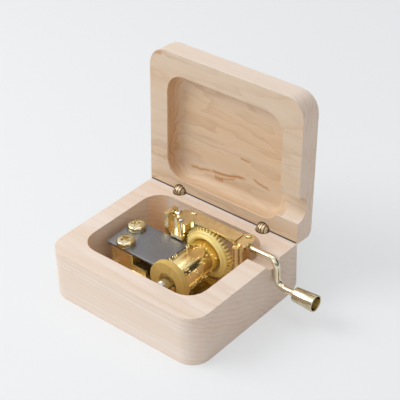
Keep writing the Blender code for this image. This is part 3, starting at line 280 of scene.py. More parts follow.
def makeMaple(name, look, grain):
    made, tree, shader = startMaterial(name)

    def cloud(source, key):
        stretch, scale, detail, rough = grain[key]
        return noise(tree, stretched(tree, source, stretch), scale, detail, rough)

    shut = Matrix.Rotation(radians(look["opened"]), 3, "X")
    inMm = stretched(tree, placeOn(tree), (1 / mm,) * 3, shut.to_euler(),
                     -(shut @ Vector(look["axis"])))
    normal = stretched(tree, placeOn(tree, "Normal"), (1, 1, 1), shut.to_euler())
    turned = stretched(tree, inMm, (1, 1, 1), (radians(look["tilt"]), 0, 0), look["shift"])
    pocket = boxMask(tree, inMm, *look["pocket"])

    # late wood: a line at the end of each ring, bolder in some patches
    ring = sums(tree, "MULTIPLY_ADD", cloud(turned, "wander"), look["wander"],
                axesOf(tree, turned)[2])
    ring = sums(tree, "MULTIPLY_ADD", cloud(turned, "ripple"), grain["rippleReach"], ring)
    ring = sums(tree, "FRACT", sums(tree, "DIVIDE", ring, look["ringGap"]))
    patch = cloud(turned, "patch")
    late = times(tree, ramp(tree, ring, grain["ring"]),
                 spread(tree, patch, 0.35, 0.68, grain["ringLeast"], look["depth"]))
    if look["face"]:                                    # calmer on the outside
        facing = vectorSum(tree, "DOT_PRODUCT", normal, look["face"]).outputs["Value"]
        inward = sums(tree, "MAXIMUM", spread(tree, facing, 0.3, 0.9), pocket)
        late = times(tree, late, spread(tree, inward, 0, 1, look["outside"], 1.0))

    tone = mixColour(tree, spread(tree, cloud(turned, "warmth"), 0.35, 0.65),
                     grain["pale"], look["warm"])
    sideways = axesOf(tree, normal)[0]
    endFace = spread(tree, sums(tree, "ABSOLUTE", sideways), 0.45, 0.95)
    tone = mixColour(tree, times(tree, endFace, grain["endShare"]), tone, look["endTone"])
    lineShare = spread(tree, endFace, 0, 1, grain["lineOnFace"], grain["lineOnEnd"])
    tone = mixColour(tree, times(tree, late, lineShare), tone, look["line"])
    spots = addNode(tree, "ShaderNodeTexVoronoi", {
        "Vector": stretched(tree, turned, grain["fleckStretch"]), "Scale": grain["fleckScale"],
        "Randomness": 1.0})
    fleck = spread(tree, spots.outputs["Distance"], *grain["fleckSize"], 1, 0)
    fleck = times(tree, fleck, spread(tree, patch, 0.45, 0.7, 0, grain["fleckShare"]))
    tone = mixColour(tree, fleck, tone, look["line"])
    fibre = cloud(turned, "fibre")
    tone = mixColour(tree, spread(tree, fibre, 0.3, 0.7, 0, grain["fibreShare"]), tone,
                     look["line"])

    # painted warm shade inside the pocket
    tone = mixColour(tree, pocket, tone, tinted(tree, tone, look["pocketShadeTint"]))
    if look["face"]:
        # painted shade on the pocket's side walls
        wall = times(tree, pocket, spread(tree, sideways, 0.2, 0.85))
        tone = mixColour(tree, wall, tone, tinted(tree, tone, look["wallShadeTint"]))
        tone = mixColour(tree, inward, tone, tinted(tree, tone, look["faceTint"]))
    if look["streaks"]:
        reach = grain["wobbleReach"]
        wobble = sums(tree, "MULTIPLY_ADD", cloud(inMm, "wobble"), reach, -reach / 2)
        for streak in look["streaks"]:
            mark = streakMask(tree, axesOf(tree, inMm), wobble, grain, *streak)
            tone = mixColour(tree, mark, tone, look["streakTone"])
        # painted shadow in the gap along the hinges
        hingeShadowLine = times(tree, boxMask(tree, inMm, *look["hingeShadowLine"], look["hingeShadowSoft"]), look["hingeShadowShare"])
        tone = mixColour(tree, hingeShadowLine, tone, look["hingeShadowTone"])
    paint(tree, shader, tone, spread(tree, fibre, 0.2, 0.8, *grain["roughness"]))
    height = sums(tree, "MULTIPLY_ADD", late, grain["bumpLine"], fibre)
    bump(tree, shader, height, grain["bump"], grain["bumpReach"])
    return made


# Metals: a cloud of the two tones, with fine grit. The cloud is six times as coarse as the grit.
metalLook = {
    "castGold": {"colour": (0.96, 0.84, 0.52), "dark": (0.84, 0.67, 0.37), "roughness": 0.26,
        "grain": 900, "bump": 0.12},
    "plateGold": {"colour": (0.88, 0.74, 0.44), "dark": (0.7, 0.55, 0.29), "roughness": 0.36,
        "grain": 1500, "bump": 0.25},
    "drumBrass": {"colour": (0.91, 0.74, 0.37), "dark": (0.82, 0.62, 0.27), "roughness": 0.17,
        "grain": 500, "bump": 0.02},
    "paleGold": {"colour": (0.76, 0.66, 0.43), "dark": (0.62, 0.51, 0.3), "roughness": 0.09,
        "grain": 700, "bump": 0.04},
    "oldBrass": {"colour": (0.76, 0.62, 0.43), "dark": (0.42, 0.31, 0.19), "roughness": 0.34,
        "grain": 1800, "bump": 0.25},
    "wireGold": {"colour": (0.82, 0.74, 0.57), "dark": (0.7, 0.6, 0.42), "roughness": 0.07,
        "grain": 700, "bump": 0.02},
    "knobGold": {"colour": (0.74, 0.66, 0.48), "dark": (0.5, 0.42, 0.26), "roughness": 0.15,
        "grain": 1500, "bump": 0.05},
    "pinBrass": {"colour": (0.95, 0.82, 0.45), "dark": (0.9, 0.72, 0.34), "roughness": 0.28,
        "grain": 500, "bump": 0.02},
    "brightSteel": {"colour": (0.72, 0.71, 0.68), "dark": (0.55, 0.54, 0.52), "roughness": 0.18,
        "grain": 900, "bump": 0.04},
}
metalGrain = {"coarser": 6, "wear": (0.8, 1.25), "bumpReach": 0.00006}


def makeMetal(name, look, grain):
    made, tree, shader = startMaterial(name)
    place = placeOn(tree)
    cloud = noise(tree, place, look["grain"] / grain["coarser"], 3, 0.6)
    grit = noise(tree, place, look["grain"], 4, 0.65)
    tone = mixColour(tree, spread(tree, cloud, 0.35, 0.7), look["colour"], look["dark"])
    wear = [look["roughness"] * share for share in grain["wear"]]
    paint(tree, shader, tone, spread(tree, cloud, 0.3, 0.7, *wear))
    shader.inputs["Metallic"].default_value = 1
    bump(tree, shader, grit, look["bump"], grain["bumpReach"])
    return made


# Comb steel, ground along its length
combLook = {
    "combPlate": {"steel": (0.28, 0.28, 0.285), "pale": (0.4, 0.4, 0.4),
        "roughness": (0.32, 0.5)},
    "combTeeth": {"steel": (0.235, 0.235, 0.245), "pale": (0.3, 0.3, 0.31),
        "roughness": (0.38, 0.56)},
}
combGrain = {"ground": (150, 9000, 2000), "cloud": 120, "cloudShare": 0.35, "bump": 0.25,
             "bumpReach": 0.00005}


def makeCombSteel(name, look, grain):
    made, tree, shader = startMaterial(name)
    place = placeOn(tree)
    ground = noise(tree, stretched(tree, place, grain["ground"]), 1.0, 4, 0.7)
    cloud = noise(tree, place, grain["cloud"], 3, 0.5)
    tone = mixColour(tree, spread(tree, ground, 0.3, 0.7), look["steel"], look["pale"])
    tone = mixColour(tree, spread(tree, cloud, 0.4, 0.7, 0.0, grain["cloudShare"]), tone,
                     look["steel"])
    paint(tree, shader, tone, spread(tree, ground, 0.2, 0.8, *look["roughness"]))
    shader.inputs["Metallic"].default_value = 1
    bump(tree, shader, ground, grain["bump"], grain["bumpReach"])
    return made


# Moulded plastic, a little translucent
plasticLook = {
    "gearPlastic": {"colour": (0.98, 0.82, 0.35), "deep": (0.93, 0.71, 0.23),
        "roughness": (0.25, 0.38), "shine": 0.45},
    # the gear's plastic made darker: painted shade for the disc, which lies in the front wall's
    # shadow
    "discPlastic": {"colour": (0.7, 0.49, 0.16), "deep": (0.62, 0.41, 0.11),
        "roughness": (0.45, 0.58), "shine": 0.22},
}
plasticGrain = {"flow": 160, "grit": 2600, "glow": 0.12, "glowReach": (0.0015, 0.0008, 0.0003),
                "bump": 0.08, "bumpReach": 0.00004}


def makePlastic(name, look, grain):
    made, tree, shader = startMaterial(name)
    place = placeOn(tree)
    flow = noise(tree, place, grain["flow"], 3, 0.5)
    grit = noise(tree, place, grain["grit"], 3, 0.6)
    tone = mixColour(tree, spread(tree, flow, 0.35, 0.7), look["colour"], look["deep"])
    paint(tree, shader, tone, spread(tree, grit, 0.2, 0.8, *look["roughness"]))
    shader.inputs["Specular IOR Level"].default_value = look["shine"]
    shader.inputs["Subsurface Weight"].default_value = grain["glow"]
    shader.inputs["Subsurface Radius"].default_value = grain["glowReach"]
    bump(tree, shader, grit, grain["bump"], grain["bumpReach"])
    return made


finishes = {}
for make, looks, sharedGrain in ((makeMetal, metalLook, metalGrain),
                                 (makeMaple, mapleLook, grainLook),
                                 (makeCombSteel, combLook, combGrain),
                                 (makePlastic, plasticLook, plasticGrain)):
    for finishName, finishLook in looks.items():
        finishes[finishName] = make(finishName, finishLook, sharedGrain)
print("music box: finishes made,", len(finishes))


# Mesh helpers, in millimetres until a piece is finished
def nodeBox(node):
    return [[value / mm for value in corner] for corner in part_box(node)]


def nodeMiddle(node):
    return [(a + b) / 2 for a, b in zip(*nodeBox(node))]


def turnedPoint(axis, centre, radius, angle, along):
    u, v = radius * cos(angle), radius * sin(angle)
    x, y, z = centre
    return {"X": (x + along, y + u, z + v), "Y": (x + u, y + along, z + v),
            "Z": (x + u, y + v, z + along)}[axis]


def lathe(profile, axis, centre, sides=64):
    # Solid if the profile starts on the axis, otherwise round a bore
    bm = bmesh.new()
    rows = []
    for radius, along in profile:
        spots = sides if radius > 0 else 1
        rows.append([bm.verts.new(turnedPoint(axis, centre, radius, 2 * pi * k / sides, along))
                     for k in range(spots)])
    for a, b in list(zip(rows, rows[1:])) + ([(rows[-1], rows[0])] if profile[0][0] > 0 else []):
        for k in range(sides):
            after = (k + 1) % sides
            corners = [a[k % len(a)], a[after % len(a)], b[after % len(b)], b[k % len(b)]]
            corners = list(dict.fromkeys(corners))
            if len(corners) > 2:
                bm.faces.new(corners)
    return bm


def addLoops(bm, loops, wrap=False):
    rows = [[bm.verts.new(point) for point in loop] for loop in loops]
    count = len(rows[0])
    for a, b in list(zip(rows, rows[1:])) + ([(rows[-1], rows[0])] if wrap else []):
        for k in range(count):
            after = (k + 1) % count
            bm.faces.new((a[k], a[after], b[after], b[k]))
    if not wrap:
        bm.faces.new(rows[0])
        bm.faces.new(rows[-1])
    return rows


def paintSecond(rows):
    for row in rows:
        for vert in row:
            for face in vert.link_faces:
                face.material_index = 1


def arcPoints(x, y, radius, start, end, steps):
    return [(x + radius * cos(start + (end - start) * k / steps),
             y + radius * sin(start + (end - start) * k / steps)) for k in range(steps + 1)]


def roundCorners(points, radii, steps):
    out = []
    for k, (point, radius) in enumerate(zip(points, radii)):
        if radius <= 0:
            out.append(point)
            continue
        here = Vector(point)
        a = (Vector(points[k - 1]) - here).normalized()
        b = (Vector(points[(k + 1) % len(points)]) - here).normalized()
        half = a.angle(b) / 2
        centre = here + (a + b).normalized() * (radius / sin(half))
        first = here + a * (radius / tan(half)) - centre
        last = here + b * (radius / tan(half)) - centre
        start = atan2(first.y, first.x)
        sweep = (atan2(last.y, last.x) - start + pi) % (2 * pi) - pi
        out += arcPoints(centre.x, centre.y, radius, start, start + sweep, steps)
    return out


weldGap = 0.002


def finishPiece(name, bm, finish, node, body, crease=50):
    bmesh.ops.remove_doubles(bm, verts=bm.verts, dist=weldGap)
    bmesh.ops.recalc_face_normals(bm, faces=bm.faces)
    bmesh.ops.scale(bm, vec=(mm, mm, mm), verts=bm.verts)
    mesh = bpy.data.meshes.new(name)
    bm.to_mesh(mesh)
    bm.free()
    mesh.shade_smooth()
    mesh.set_sharp_from_angle(angle=radians(crease))
    for each in finish if isinstance(finish, tuple) else (finish,):
        mesh.materials.append(finishes[each])
    piece = addObject(name, mesh)
    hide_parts(node)
    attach(piece, body)


def eased(share):
    share = min(max(share, 0), 1)
    return share * share * (3 - 2 * share)


# Pinned drum with its end disc, crown gear and arbor. They turn about the axis along Y.
discLow, discHigh = nodeBox("drum_end_disc")
axisX, _, axisZ = nodeMiddle("drum_end_disc")
drumCentre = (axisX, 0, axisZ)
combBox = nodeBox("comb")
drumLook = {"radius": 7.1, "wall": 0.7, "corners": (0.08, 0.15, 0.15, 0.08), "sides": 128,
            "notes": 18, "pinsPerNote": 5, "places": 84, "seed": 7,
            "pinRadius": 0.26, "pinReach": 0.88, "pinSides": 10, "pinDome": 0.12,
            # share of the pin's radius, with the height over the drum, then domes below the top
            "pinFoot": ((1.25, -0.2), (1.25, 0.04), (1.0, 0.16)),
            "pinTip": ((0.92, 1.0), (0.7, 0.3), (0.3, 0.0))}


def addPin(bm, look, angle, y):
    outward = Vector((cos(angle), 0, sin(angle)))
    across = Vector((-sin(angle), 0, cos(angle)))
    top, sides = look["radius"] + look["pinReach"], look["pinSides"]
    steps = [(share, look["radius"] + height) for share, height in look["pinFoot"]]
    steps += [(share, top - look["pinDome"] * part) for share, part in look["pinTip"]]
    loops = []
    for share, height in steps:
        middle = outward * height + Vector((axisX, y, axisZ))
        size = look["pinRadius"] * share
        loops.append([middle + across * (size * cos(2 * pi * k / sides))
                      + Vector((0, size * sin(2 * pi * k / sides), 0)) for k in range(sides)])
    paintSecond(addLoops(bm, loops))


def makeDrum(look):
    low, high = nodeBox("drum")
    r, inner = look["radius"], look["radius"] - look["wall"]
    profile = [(inner, low[1]), (r, low[1]), (r, high[1]), (inner, high[1])]
    bm = lathe(roundCorners(profile, look["corners"], 3), "Y", drumCentre, look["sides"])
    front, back = combBox[0][1], combBox[1][1]
    pitch = (back - front) / look["notes"]
    tune = Random(look["seed"])
    for note in range(look["notes"]):
        y = front + (note + 0.5) * pitch
        for place in tune.sample(range(0, look["places"], 2), look["pinsPerNote"]):
            addPin(bm, look, 2 * pi * (place + 0.5) / look["places"], y)
    finishPiece("pinnedDrum", bm, ("drumBrass", "pinBrass"), "drum", "cylinder", crease=35)


discLook = {"recess": 4.4, "recessDepth": 1.0, "hub": 5.6, "hubLength": 3.0, "bore": 2.2,
            "corners": (0, 0.25, 0.3, 0.45, 0.45, 0.2, 0.1, 0), "sides": 128,
            # moulded line on the face: from and to, angle, and its outline across and forward
            "line": (5.2, 8.9), "lineAngle": 78,
            "lineOutline": ((-0.25, 0.1), (-0.2, -0.154), (0, -0.22), (0.2, -0.154), (0.25, 0.1))}


def makeDisc(look):
    front, back, hubEnd = discLow[1], discHigh[1] - look["hubLength"], discHigh[1]
    r, floor = (discHigh[0] - discLow[0]) / 2, front + look["recessDepth"]
    profile = [(look["bore"], floor), (look["recess"], floor), (look["recess"], front),
               (r, front), (r, back), (look["hub"], back), (look["hub"], hubEnd),
               (look["bore"], hubEnd)]
    bm = lathe(roundCorners(profile, look["corners"], 6), "Y", drumCentre, look["sides"])
    angle = radians(look["lineAngle"])
    outward, across = Vector((cos(angle), 0, sin(angle))), Vector((-sin(angle), 0, cos(angle)))
    addLoops(bm, [[outward * reach + Vector((axisX, front, axisZ)) + across * u
                   + Vector((0, v, 0)) for u, v in look["lineOutline"]]
                  for reach in look["line"]])
    finishPiece("endDisc", bm, "discPlastic", "drum_end_disc", "cylinder")


gearLook = {
    "teeth": 42, "flange": 11.0, "toothReach": 1.3, "innerRim": 7.7, "webRim": 7.4, "web": 1.2,
    "hub": 5.6, "hubLength": 3.0, "hubCorner": 0.2, "bore": 2.2, "slant": 0.105,
    "pitchRadius": 9.6, "gapHalf": 0.23, "gapEdge": 0.36,
    # places along one tooth pitch, closer together on the flanks
    "columns": (-0.5, -0.43, -0.36, -0.32, -0.28, -0.23, -0.1, 0.0, 0.1, 0.23, 0.28, 0.32, 0.36,
                0.43),
    # radius, and how far in front of the rim: plain web, then inner wall, bead, valley and flange
    "plain": ((6.5, 0), (7.3, 0.05)),
    "face": ((7.4, 0.4), (7.62, 0.9), (8.05, 1.45), (8.5, 1.8), (9.0, 1.92), (9.45, 1.76),
             (9.72, 1.4), (9.84, 1.12), (10.1, 1.03), (10.5, 0.94), (10.82, 0.66),
             (10.96, 0.25)),
    # the ring cut through a tooth and through a gap, measured from the named radius and depth
    "tooth": (("flange", 0.08, "front", 0.2), ("flange", 0.35, "front", 0.28),
              ("tip", -0.3, "front", 0.34), ("tip", -0.08, "front", 0.46),
              ("tip", 0, "front", 0.7), ("tip", 0, "back", -0.35), ("tip", -0.08, "back", -0.1),
              ("tip", -0.35, "back", 0), ("inner", 0.3, "back", 0), ("inner", 0.04, "back", -0.2),
              ("inner", 0, "root", 0.1)),
    "gap": (("flange", -0.2, "front", 0.22), ("flange", -0.3, "front", 0.34),
            ("flange", -0.32, "front", 0.44), ("flange", -0.34, "root", -0.35),
            ("flange", -0.35, "root", -0.25), ("flange", -0.36, "root", -0.12),
            ("flange", -0.37, "root", 0), ("flange", -0.6, "root", 0),
            ("inner", 0.3, "root", 0.01), ("inner", 0.1, "root", 0.02), ("inner", 0, "root", 0.05)),
}


def smoothLine(points, steps):
    # The points, with more between them on a soft curve
    out = [points[0]]
    last = len(points) - 1
    for k in range(last):
        a, b, c, d = (Vector(points[min(max(j, 0), last)]) for j in (k - 1, k, k + 1, k + 2))
        for step in range(1, steps + 1):
            t = step / steps
            out.append(tuple(0.5 * (2 * b + (c - a) * t + (2 * a - 5 * b + 4 * c - d) * t * t
                                    + (3 * b - a - 3 * c + d) * t ** 3)))
    return out


def makeGear(look):
    low, high = nodeBox("drum_gear")
    front = low[1] + look["hubLength"]
    at = {"front": front, "back": high[1], "root": high[1] - look["toothReach"],
          "flange": look["flange"], "tip": (high[0] - low[0]) / 2, "inner": look["innerRim"]}
    hub = [(look["bore"], front + look["web"]), (look["bore"], front - look["hubLength"]),
           (look["hub"], front - look["hubLength"]), (look["hub"], front)]
    body = roundCorners(hub, [0, 0, look["hubCorner"], 0], 4)
    body += [(r, front - forward) for r, forward in look["plain"]]
    body += [(r, front - forward) for r, forward in smoothLine(look["face"], 3)]
    tooth, gap = ([(at[a] + da, at[b] + db) for a, da, b, db in look[key]]
                  for key in ("tooth", "gap"))
    tail = [(look["webRim"], front + look["web"])]
    columns = []
    for k in range(look["teeth"]):
        for share in look["columns"]:
            cut = eased((look["gapEdge"] - abs(share)) / (look["gapEdge"] - look["gapHalf"]))
            edge = [[u + (v - u) * cut for u, v in zip(a, b)] for a, b in zip(tooth, gap)]
            angle = 2 * pi * (k + share) / look["teeth"]
            column = []
            for r, y in body + edge + tail:
                past = min(max(r, at["inner"]), at["tip"]) - look["pitchRadius"]
                lean = look["slant"] * past / look["pitchRadius"]
                column.append(turnedPoint("Y", drumCentre, r, angle + lean, y))
            columns.append(column)
    bm = bmesh.new()
    addLoops(bm, columns, wrap=True)
    finishPiece("crownGear", bm, "gearPlastic", "drum_gear", "cylinder",
                crease=40)


arborLook = {"radius": 1.9, "journal": 2.9, "fromPlate": 2.5, "intoDisc": 0.7, "endEdge": 0.2,
             "centreHole": (0.35, 0.5, 0.15), "frontEdge": 0.25, "backEdge": 0.15,
             "grooves": (0.9, 1.6), "grooveDeep": 0.08, "grooveHalf": 0.1}


def makeArbor(look):
    (_, start, _), (_, end, _) = nodeBox("drum_arbor")
    journal, shoulder = nodeBox("bedplate")[0][1] + look["fromPlate"], discLow[1] + look["intoDisc"]
    r, big, edge = look["radius"], look["journal"], look["endEdge"]
    holeFloor, holeRim, holeDeep = look["centreHole"]
    profile = [(0, start + holeDeep), (holeFloor, start + holeDeep), (holeRim, start),
               (r - edge, start), (r, start + edge), (r, journal),
               (big - look["frontEdge"], journal), (big, journal + look["frontEdge"])]
    for groove in look["grooves"]:
        y = journal + groove
        profile += [(big, y), (big - look["grooveDeep"], y + look["grooveHalf"]),
                    (big, y + 2 * look["grooveHalf"])]
    profile += [(big, shoulder - look["backEdge"]), (big - look["backEdge"], shoulder),
                (r, shoulder), (r, end - edge), (r - edge, end), (0, end)]
    bm = lathe(profile, "Y", drumCentre)
    finishPiece("drumArbor", bm, "brightSteel", "drum_arbor", "cylinder", crease=25)


makeDrum(drumLook)
makeDisc(discLook)
makeGear(gearLook)
makeArbor(arborLook)
print("music box: drum, gear, disc and arbor made")


# Comb of 18 teeth. Its thick plate ends on a slanted line, where the thinner ground teeth start.
combShape = {"teeth": 18, "top": 18.37, "plate": 1.2, "tooth": 0.9, "ground": 0.1, "slot": 0.11,
             "rootFront": 13.1, "rootBack": 5.0, "corner": 1.0, "edge": 0.13,
             "stepRun": 0.45, "thinRun": 0.8, "tipRun": 0.25, "tipRound": 0.12,
             "weights": 9, "weightLength": 4.0, "weightSetBack": 3.0,
             "weightDeep": (3.0, 0.8), "weightGap": 0.13, "weightSink": 0.15,
             # rim edges: how far past the roots, off the sides and off the level, and how low
             "rim": (0.2, 0.01, 0.15, 0.3)}


def makeComb(look):
    (left, front, _), (tip, back, _) = combBox
    top, bottom = look["top"], look["top"] - look["plate"]
    toothTop, toothLow = top - look["ground"], top - look["tooth"]
    teeth, weights, r, half = look["teeth"], look["weights"], look["corner"], look["slot"] / 2
    pitch = (back - front) / teeth
    edges = [front + k * pitch for k in range(teeth + 1)]
    roots = [left + look["rootFront"] + (look["rootBack"] - look["rootFront"]) * k / teeth
             for k in range(teeth + 1)]
    bm = bmesh.new()

    # the plate, open along its roots
    outline = list(zip(roots, edges)) + arcPoints(left + r, back - r, r, pi / 2, pi, 8) \
        + arcPoints(left + r, front + r, r, pi, 3 * pi / 2, 8)
    upper = [bm.verts.new((x, y, top)) for x, y in outline]
    lower = [bm.verts.new((x, y, bottom)) for x, y in outline]
    bm.faces.new(upper)
    bm.faces.new(lower)
    for k in range(teeth, len(outline)):
        after = (k + 1) % len(outline)
        bm.faces.new((upper[k], upper[after], lower[after], lower[k]))

    for k in range(teeth):
        a, b, ra, rb = edges[k], edges[k + 1], roots[k], roots[k + 1]
        ca = a if k == 0 else a + half
        cb = b if k == teeth - 1 else b - half
        sections = [[(ra, a, top), (rb, b, top), (rb, b, bottom), (ra, a, bottom)]]
        step, thin, run, soft = (look[key] for key in ("stepRun", "thinRun", "tipRun", "tipRound"))
        for xa, xb, high, low in ((ra + step, rb + step, toothTop, bottom),
                                  (ra + thin, rb + thin, toothTop, toothLow),
                                  (tip - run, tip - run, toothTop, toothLow),
                                  (tip, tip, toothTop - soft, toothLow + soft)):
            sections.append([(xa, ca, high), (xb, cb, high), (xb, cb, low), (xa, ca, low)])
        rows = [[bm.verts.new(point) for point in section] for section in sections]
        for one, two in zip(rows, rows[1:]):
            for j in range(4):
                after = (j + 1) % 4
                bm.faces.new((one[j], one[after], two[after], two[j])).material_index = 1
        bm.faces.new(rows[-1]).material_index = 1

    longest, shortest = look["weightDeep"]
    for k in range(weights):                                # under the long teeth, at the back
        share = k / (weights - 1)
        deep = longest + (shortest - longest) * share
        y0 = back - (k + 1) * pitch + look["weightGap"]
        y1 = back - k * pitch - look["weightGap"]
        x1 = tip - look["weightSetBack"]
        x0 = x1 - look["weightLength"]
        paintSecond(addLoops(bm, [[(x0, y0, z), (x1, y0, z), (x1, y1, z), (x0, y1, z)]
                                  for z in (toothLow + look["weightSink"], toothLow - deep)]))
    bmesh.ops.remove_doubles(bm, verts=bm.verts, dist=weldGap)

    past, near, reach, drop = look["rim"]

    def onRim(vert):
        x, y, z = vert.co
        level = top if x < roots[0] + past else toothTop
        outside = y < front + near or y > back - near or x < left + r + near
        return outside and abs(z - level) < reach and z > toothTop - near

    rim = [edge for edge in bm.edges if all(onRim(vert) for vert in edge.verts)
           and len(edge.link_faces) == 2
           and any(abs(face.calc_center_median().z - top) > drop for face in edge.link_faces)]
    bmesh.ops.bevel(bm, geom=rim, offset=look["edge"], segments=2, affect="EDGES", profile=0.5,
                    clamp_overlap=True)
    finishPiece("combSteelPlate", bm, ("combPlate", "combTeeth"), "comb", "box",
                crease=30)


screwLook = {"sides": 96, "edge": 1.05, "edgeSteps": 6, "crown": 0.4, "faceRings": 40,
             "armLength": 2.15, "armWidth": 0.62, "soft": 0.13, "depth": 1.5, "shank": 1.3,
             "shankLength": 5.0, "seatGap": 0.02, "under": 0.1}
screwTurns = {"comb_screw_front": ("combScrewFront", 20), "comb_screw_rear": ("combScrewRear", 50)}


def crossDepth(look, u, v):
    # 1 inside the four lobes, 0 outside, with a soft wall between
    soft = look["soft"]

    def within(a, b):
        return eased((look["armWidth"] + soft - abs(b)) / (2 * soft)) \
            * eased((look["armLength"] + soft - abs(a)) / (2 * soft))
    return max(within(u, v), within(v, u))


def makeCombScrew(node, name, look, turn):
    low, high = nodeBox(node)
    x, y, _ = nodeMiddle(node)
    r, top, edge, under = (high[0] - low[0]) / 2, high[2], look["edge"], look["under"]
    seat, shoulder = combShape["top"] + look["seatGap"], top - edge - look["crown"]
    angles = [2 * pi * k / look["sides"] for k in range(look["sides"])]
    rings = [(look["shank"], seat - look["shankLength"]), (look["shank"], seat),
             (r - under, seat), (r, seat + under), (r, shoulder)]
    for step in range(1, look["edgeSteps"] + 1):
        a = pi / 2 * step / look["edgeSteps"]
        rings.append((r - edge * (1 - cos(a)), shoulder + edge * sin(a)))
    loops = [[(x + q * cos(a), y + q * sin(a), z) for a in angles] for q, z in rings]
    flat = r - edge
    for step in range(1, look["faceRings"]):
        q = flat * (1 - step / look["faceRings"])
        dome = top - look["crown"] * (q / flat) ** 2
        loops.append([(x + q * cos(a), y + q * sin(a), dome - look["depth"]
                       * crossDepth(look, q * cos(a + turn), q * sin(a + turn))) for a in angles])
    bm = bmesh.new()
    addLoops(bm, loops)
    finishPiece(name, bm, "paleGold", node, "box")


makeComb(combShape)
for screwNode, (screwName, screwTurn) in screwTurns.items():
    makeCombScrew(screwNode, screwName, screwLook, radians(screwTurn))
print("music box: comb and its screws made")


# Rivets of the top plate, and the stud under its arm
rivetLook = {
    "rivet_left": {"name": "rivetLeft", "shank": 0.8, "finish": "castGold", "slot": "gold"},
    "rivet_right": {"name": "rivetRight", "shank": 0.8, "finish": "castGold", "slot": "gold"},
    "plate_stud": {"name": "plateStud", "shank": 0.6,
        "finish": "brightSteel", "slot": "bright_steel"},
}
rivetHead = {"height": 0.4, "rim": 0.02, "dome": 0.38, "steps": 8, "dimple": 0.12,
             "dimpleRim": 0.06, "dimpleDeep": 0.08, "sides": 48}


def makeRivet(node, look, head):
    low, high = nodeBox(node)
    centre = (*nodeMiddle(node)[:2], 0)
    r, shank = (high[0] - low[0]) / 2, look["shank"]
    seat = high[2] - head["height"]
    profile = [(0, low[2]), (shank, low[2]), (shank, seat), (r, seat)]
    for step in range(head["steps"]):
        a = pi / 2 * step / head["steps"]
        profile.append((r * cos(a), seat + head["rim"] + head["dome"] * sin(a)))
    profile += [(r * head["dimple"], high[2] - head["dimpleRim"]),
                (0, high[2] - head["dimpleDeep"])]
    bm = lathe(profile, "Z", centre, head["sides"])
    finishPiece(look["name"], bm, look["finish"], node, "box")


for rivetNode, rivetValues in rivetLook.items():
    makeRivet(rivetNode, rivetValues, rivetHead)


# Crank: a bent wire with the worm, two rings and the knob's retainer on it
wormLow, wormHigh = nodeBox("worm")
wormX, shaftY, shaftZ = nodeMiddle("worm")
wireLook = {"radius": 1.5, "spindle": 1.0, "bend": 4.2, "throw": 12.6, "sides": 32,
            "bendSteps": 20, "armOut": 1.9, "stepPast": 0.3, "stepRun": 0.25,
            # run from the tip of the wire, and share of its radius there
            "startTip": ((0, 0.3), (0.08, 0.75), (0.25, 1)),
            "endTip": ((0.5, 1), (0.15, 0.85), (0, 0.5))}
handleZ = shaftZ - wireLook["throw"]


def makeWire(look):
    low, high = nodeBox("crank_wire")
    r, thin, bend = look["radius"], look["spindle"], look["bend"]
    step = wormHigh[0] + look["stepPast"]
    armX = nodeBox("box_base")[1][0] + look["armOut"]
    path = [(low[0] + run, shaftZ, share * thin) for run, share in look["startTip"]]
    path += [(step, shaftZ, thin), (step + look["stepRun"], shaftZ, r)]
    upper = arcPoints(armX - bend, shaftZ - bend, bend, pi / 2, 0, look["bendSteps"])
    lower = arcPoints(armX + bend, handleZ + bend, bend, pi, 3 * pi / 2, look["bendSteps"])
    path += [(x, z, r) for x, z in upper + lower]
    path += [(high[0] - run, handleZ, share * r) for run, share in look["endTip"]]
    angles = [2 * pi * k / look["sides"] for k in range(look["sides"])]
    loops = []
    for k, (x, z, radius) in enumerate(path):
        before, after = path[max(k - 1, 0)], path[min(k + 1, len(path) - 1)]
        run = Vector((after[0] - before[0], after[1] - before[1])).normalized()
        loops.append([(x - radius * sin(a) * run.y, shaftY + radius * cos(a),
                       z + radius * sin(a) * run.x) for a in angles])
    bm = bmesh.new()
    addLoops(bm, loops)
    finishPiece("crankWire", bm, "wireGold", "crank_wire", "crank", crease=40)


wormLook = {"radius": 2.4, "core": 1.75, "bore": 1.3, "corners": (0.05, 0.2, 0.2, 0.05),
            "pitch": 1.436, "turns": 3.0, "crest": 0.22, "foot": 0.42, "crestRound": 0.06,
            "sink": 0.2, "runOut": 6, "runOutLeast": 0.05, "sides": 48}


def makeWorm(look):
    centre = (wormX, shaftY, shaftZ)
    half, core, bore = (wormHigh[0] - wormLow[0]) / 2, look["core"], look["bore"]
    profile = [(bore, -half), (core, -half), (core, half), (bore, half)]
    bm = lathe(roundCorners(profile, look["corners"], 3), "X", centre, look["sides"])
    pitch, turns = look["pitch"], look["turns"]
    crest, foot, root = look["crest"] * pitch / 2, look["foot"] * pitch / 2, core - look["sink"]
    steps = int(turns * look["sides"])
    loops = []
    for k in range(steps + 1):
        spot = k / steps - 0.5
        turn = -2 * pi * turns * spot + pi / 2
        fade = min(1.0, look["runOut"] * (0.5 - abs(spot)) * turns + look["runOutLeast"])
        tip = core + (look["radius"] - core) * fade
        flank = tip - look["crestRound"]
        section = [(root, -foot), (flank, -crest), (tip, -crest * 0.5), (tip, crest * 0.5),
                   (flank, crest), (root, foot)]
        loops.append([turnedPoint("X", centre, r, turn, pitch * turns * spot + h)
                      for r, h in section])
    addLoops(bm, loops)
    finishPiece("crankWorm", bm, "drumBrass", "worm", "crank", crease=40)


ringLook = {
    "thrust_washer": {"name": "thrustWasher", "bore": 1.3, "edge": 0.1,
        "finish": "brightSteel", "slot": "bright_steel"},
    "shaft_collar": {"name": "shaftCollar", "bore": 1.8, "edge": 0.18,
        "finish": "drumBrass", "slot": "brass"},
    "knob_retainer": {"name": "knobRetainer", "bore": 1.8, "edge": 0.15,
        "finish": "drumBrass", "slot": "brass"},
}


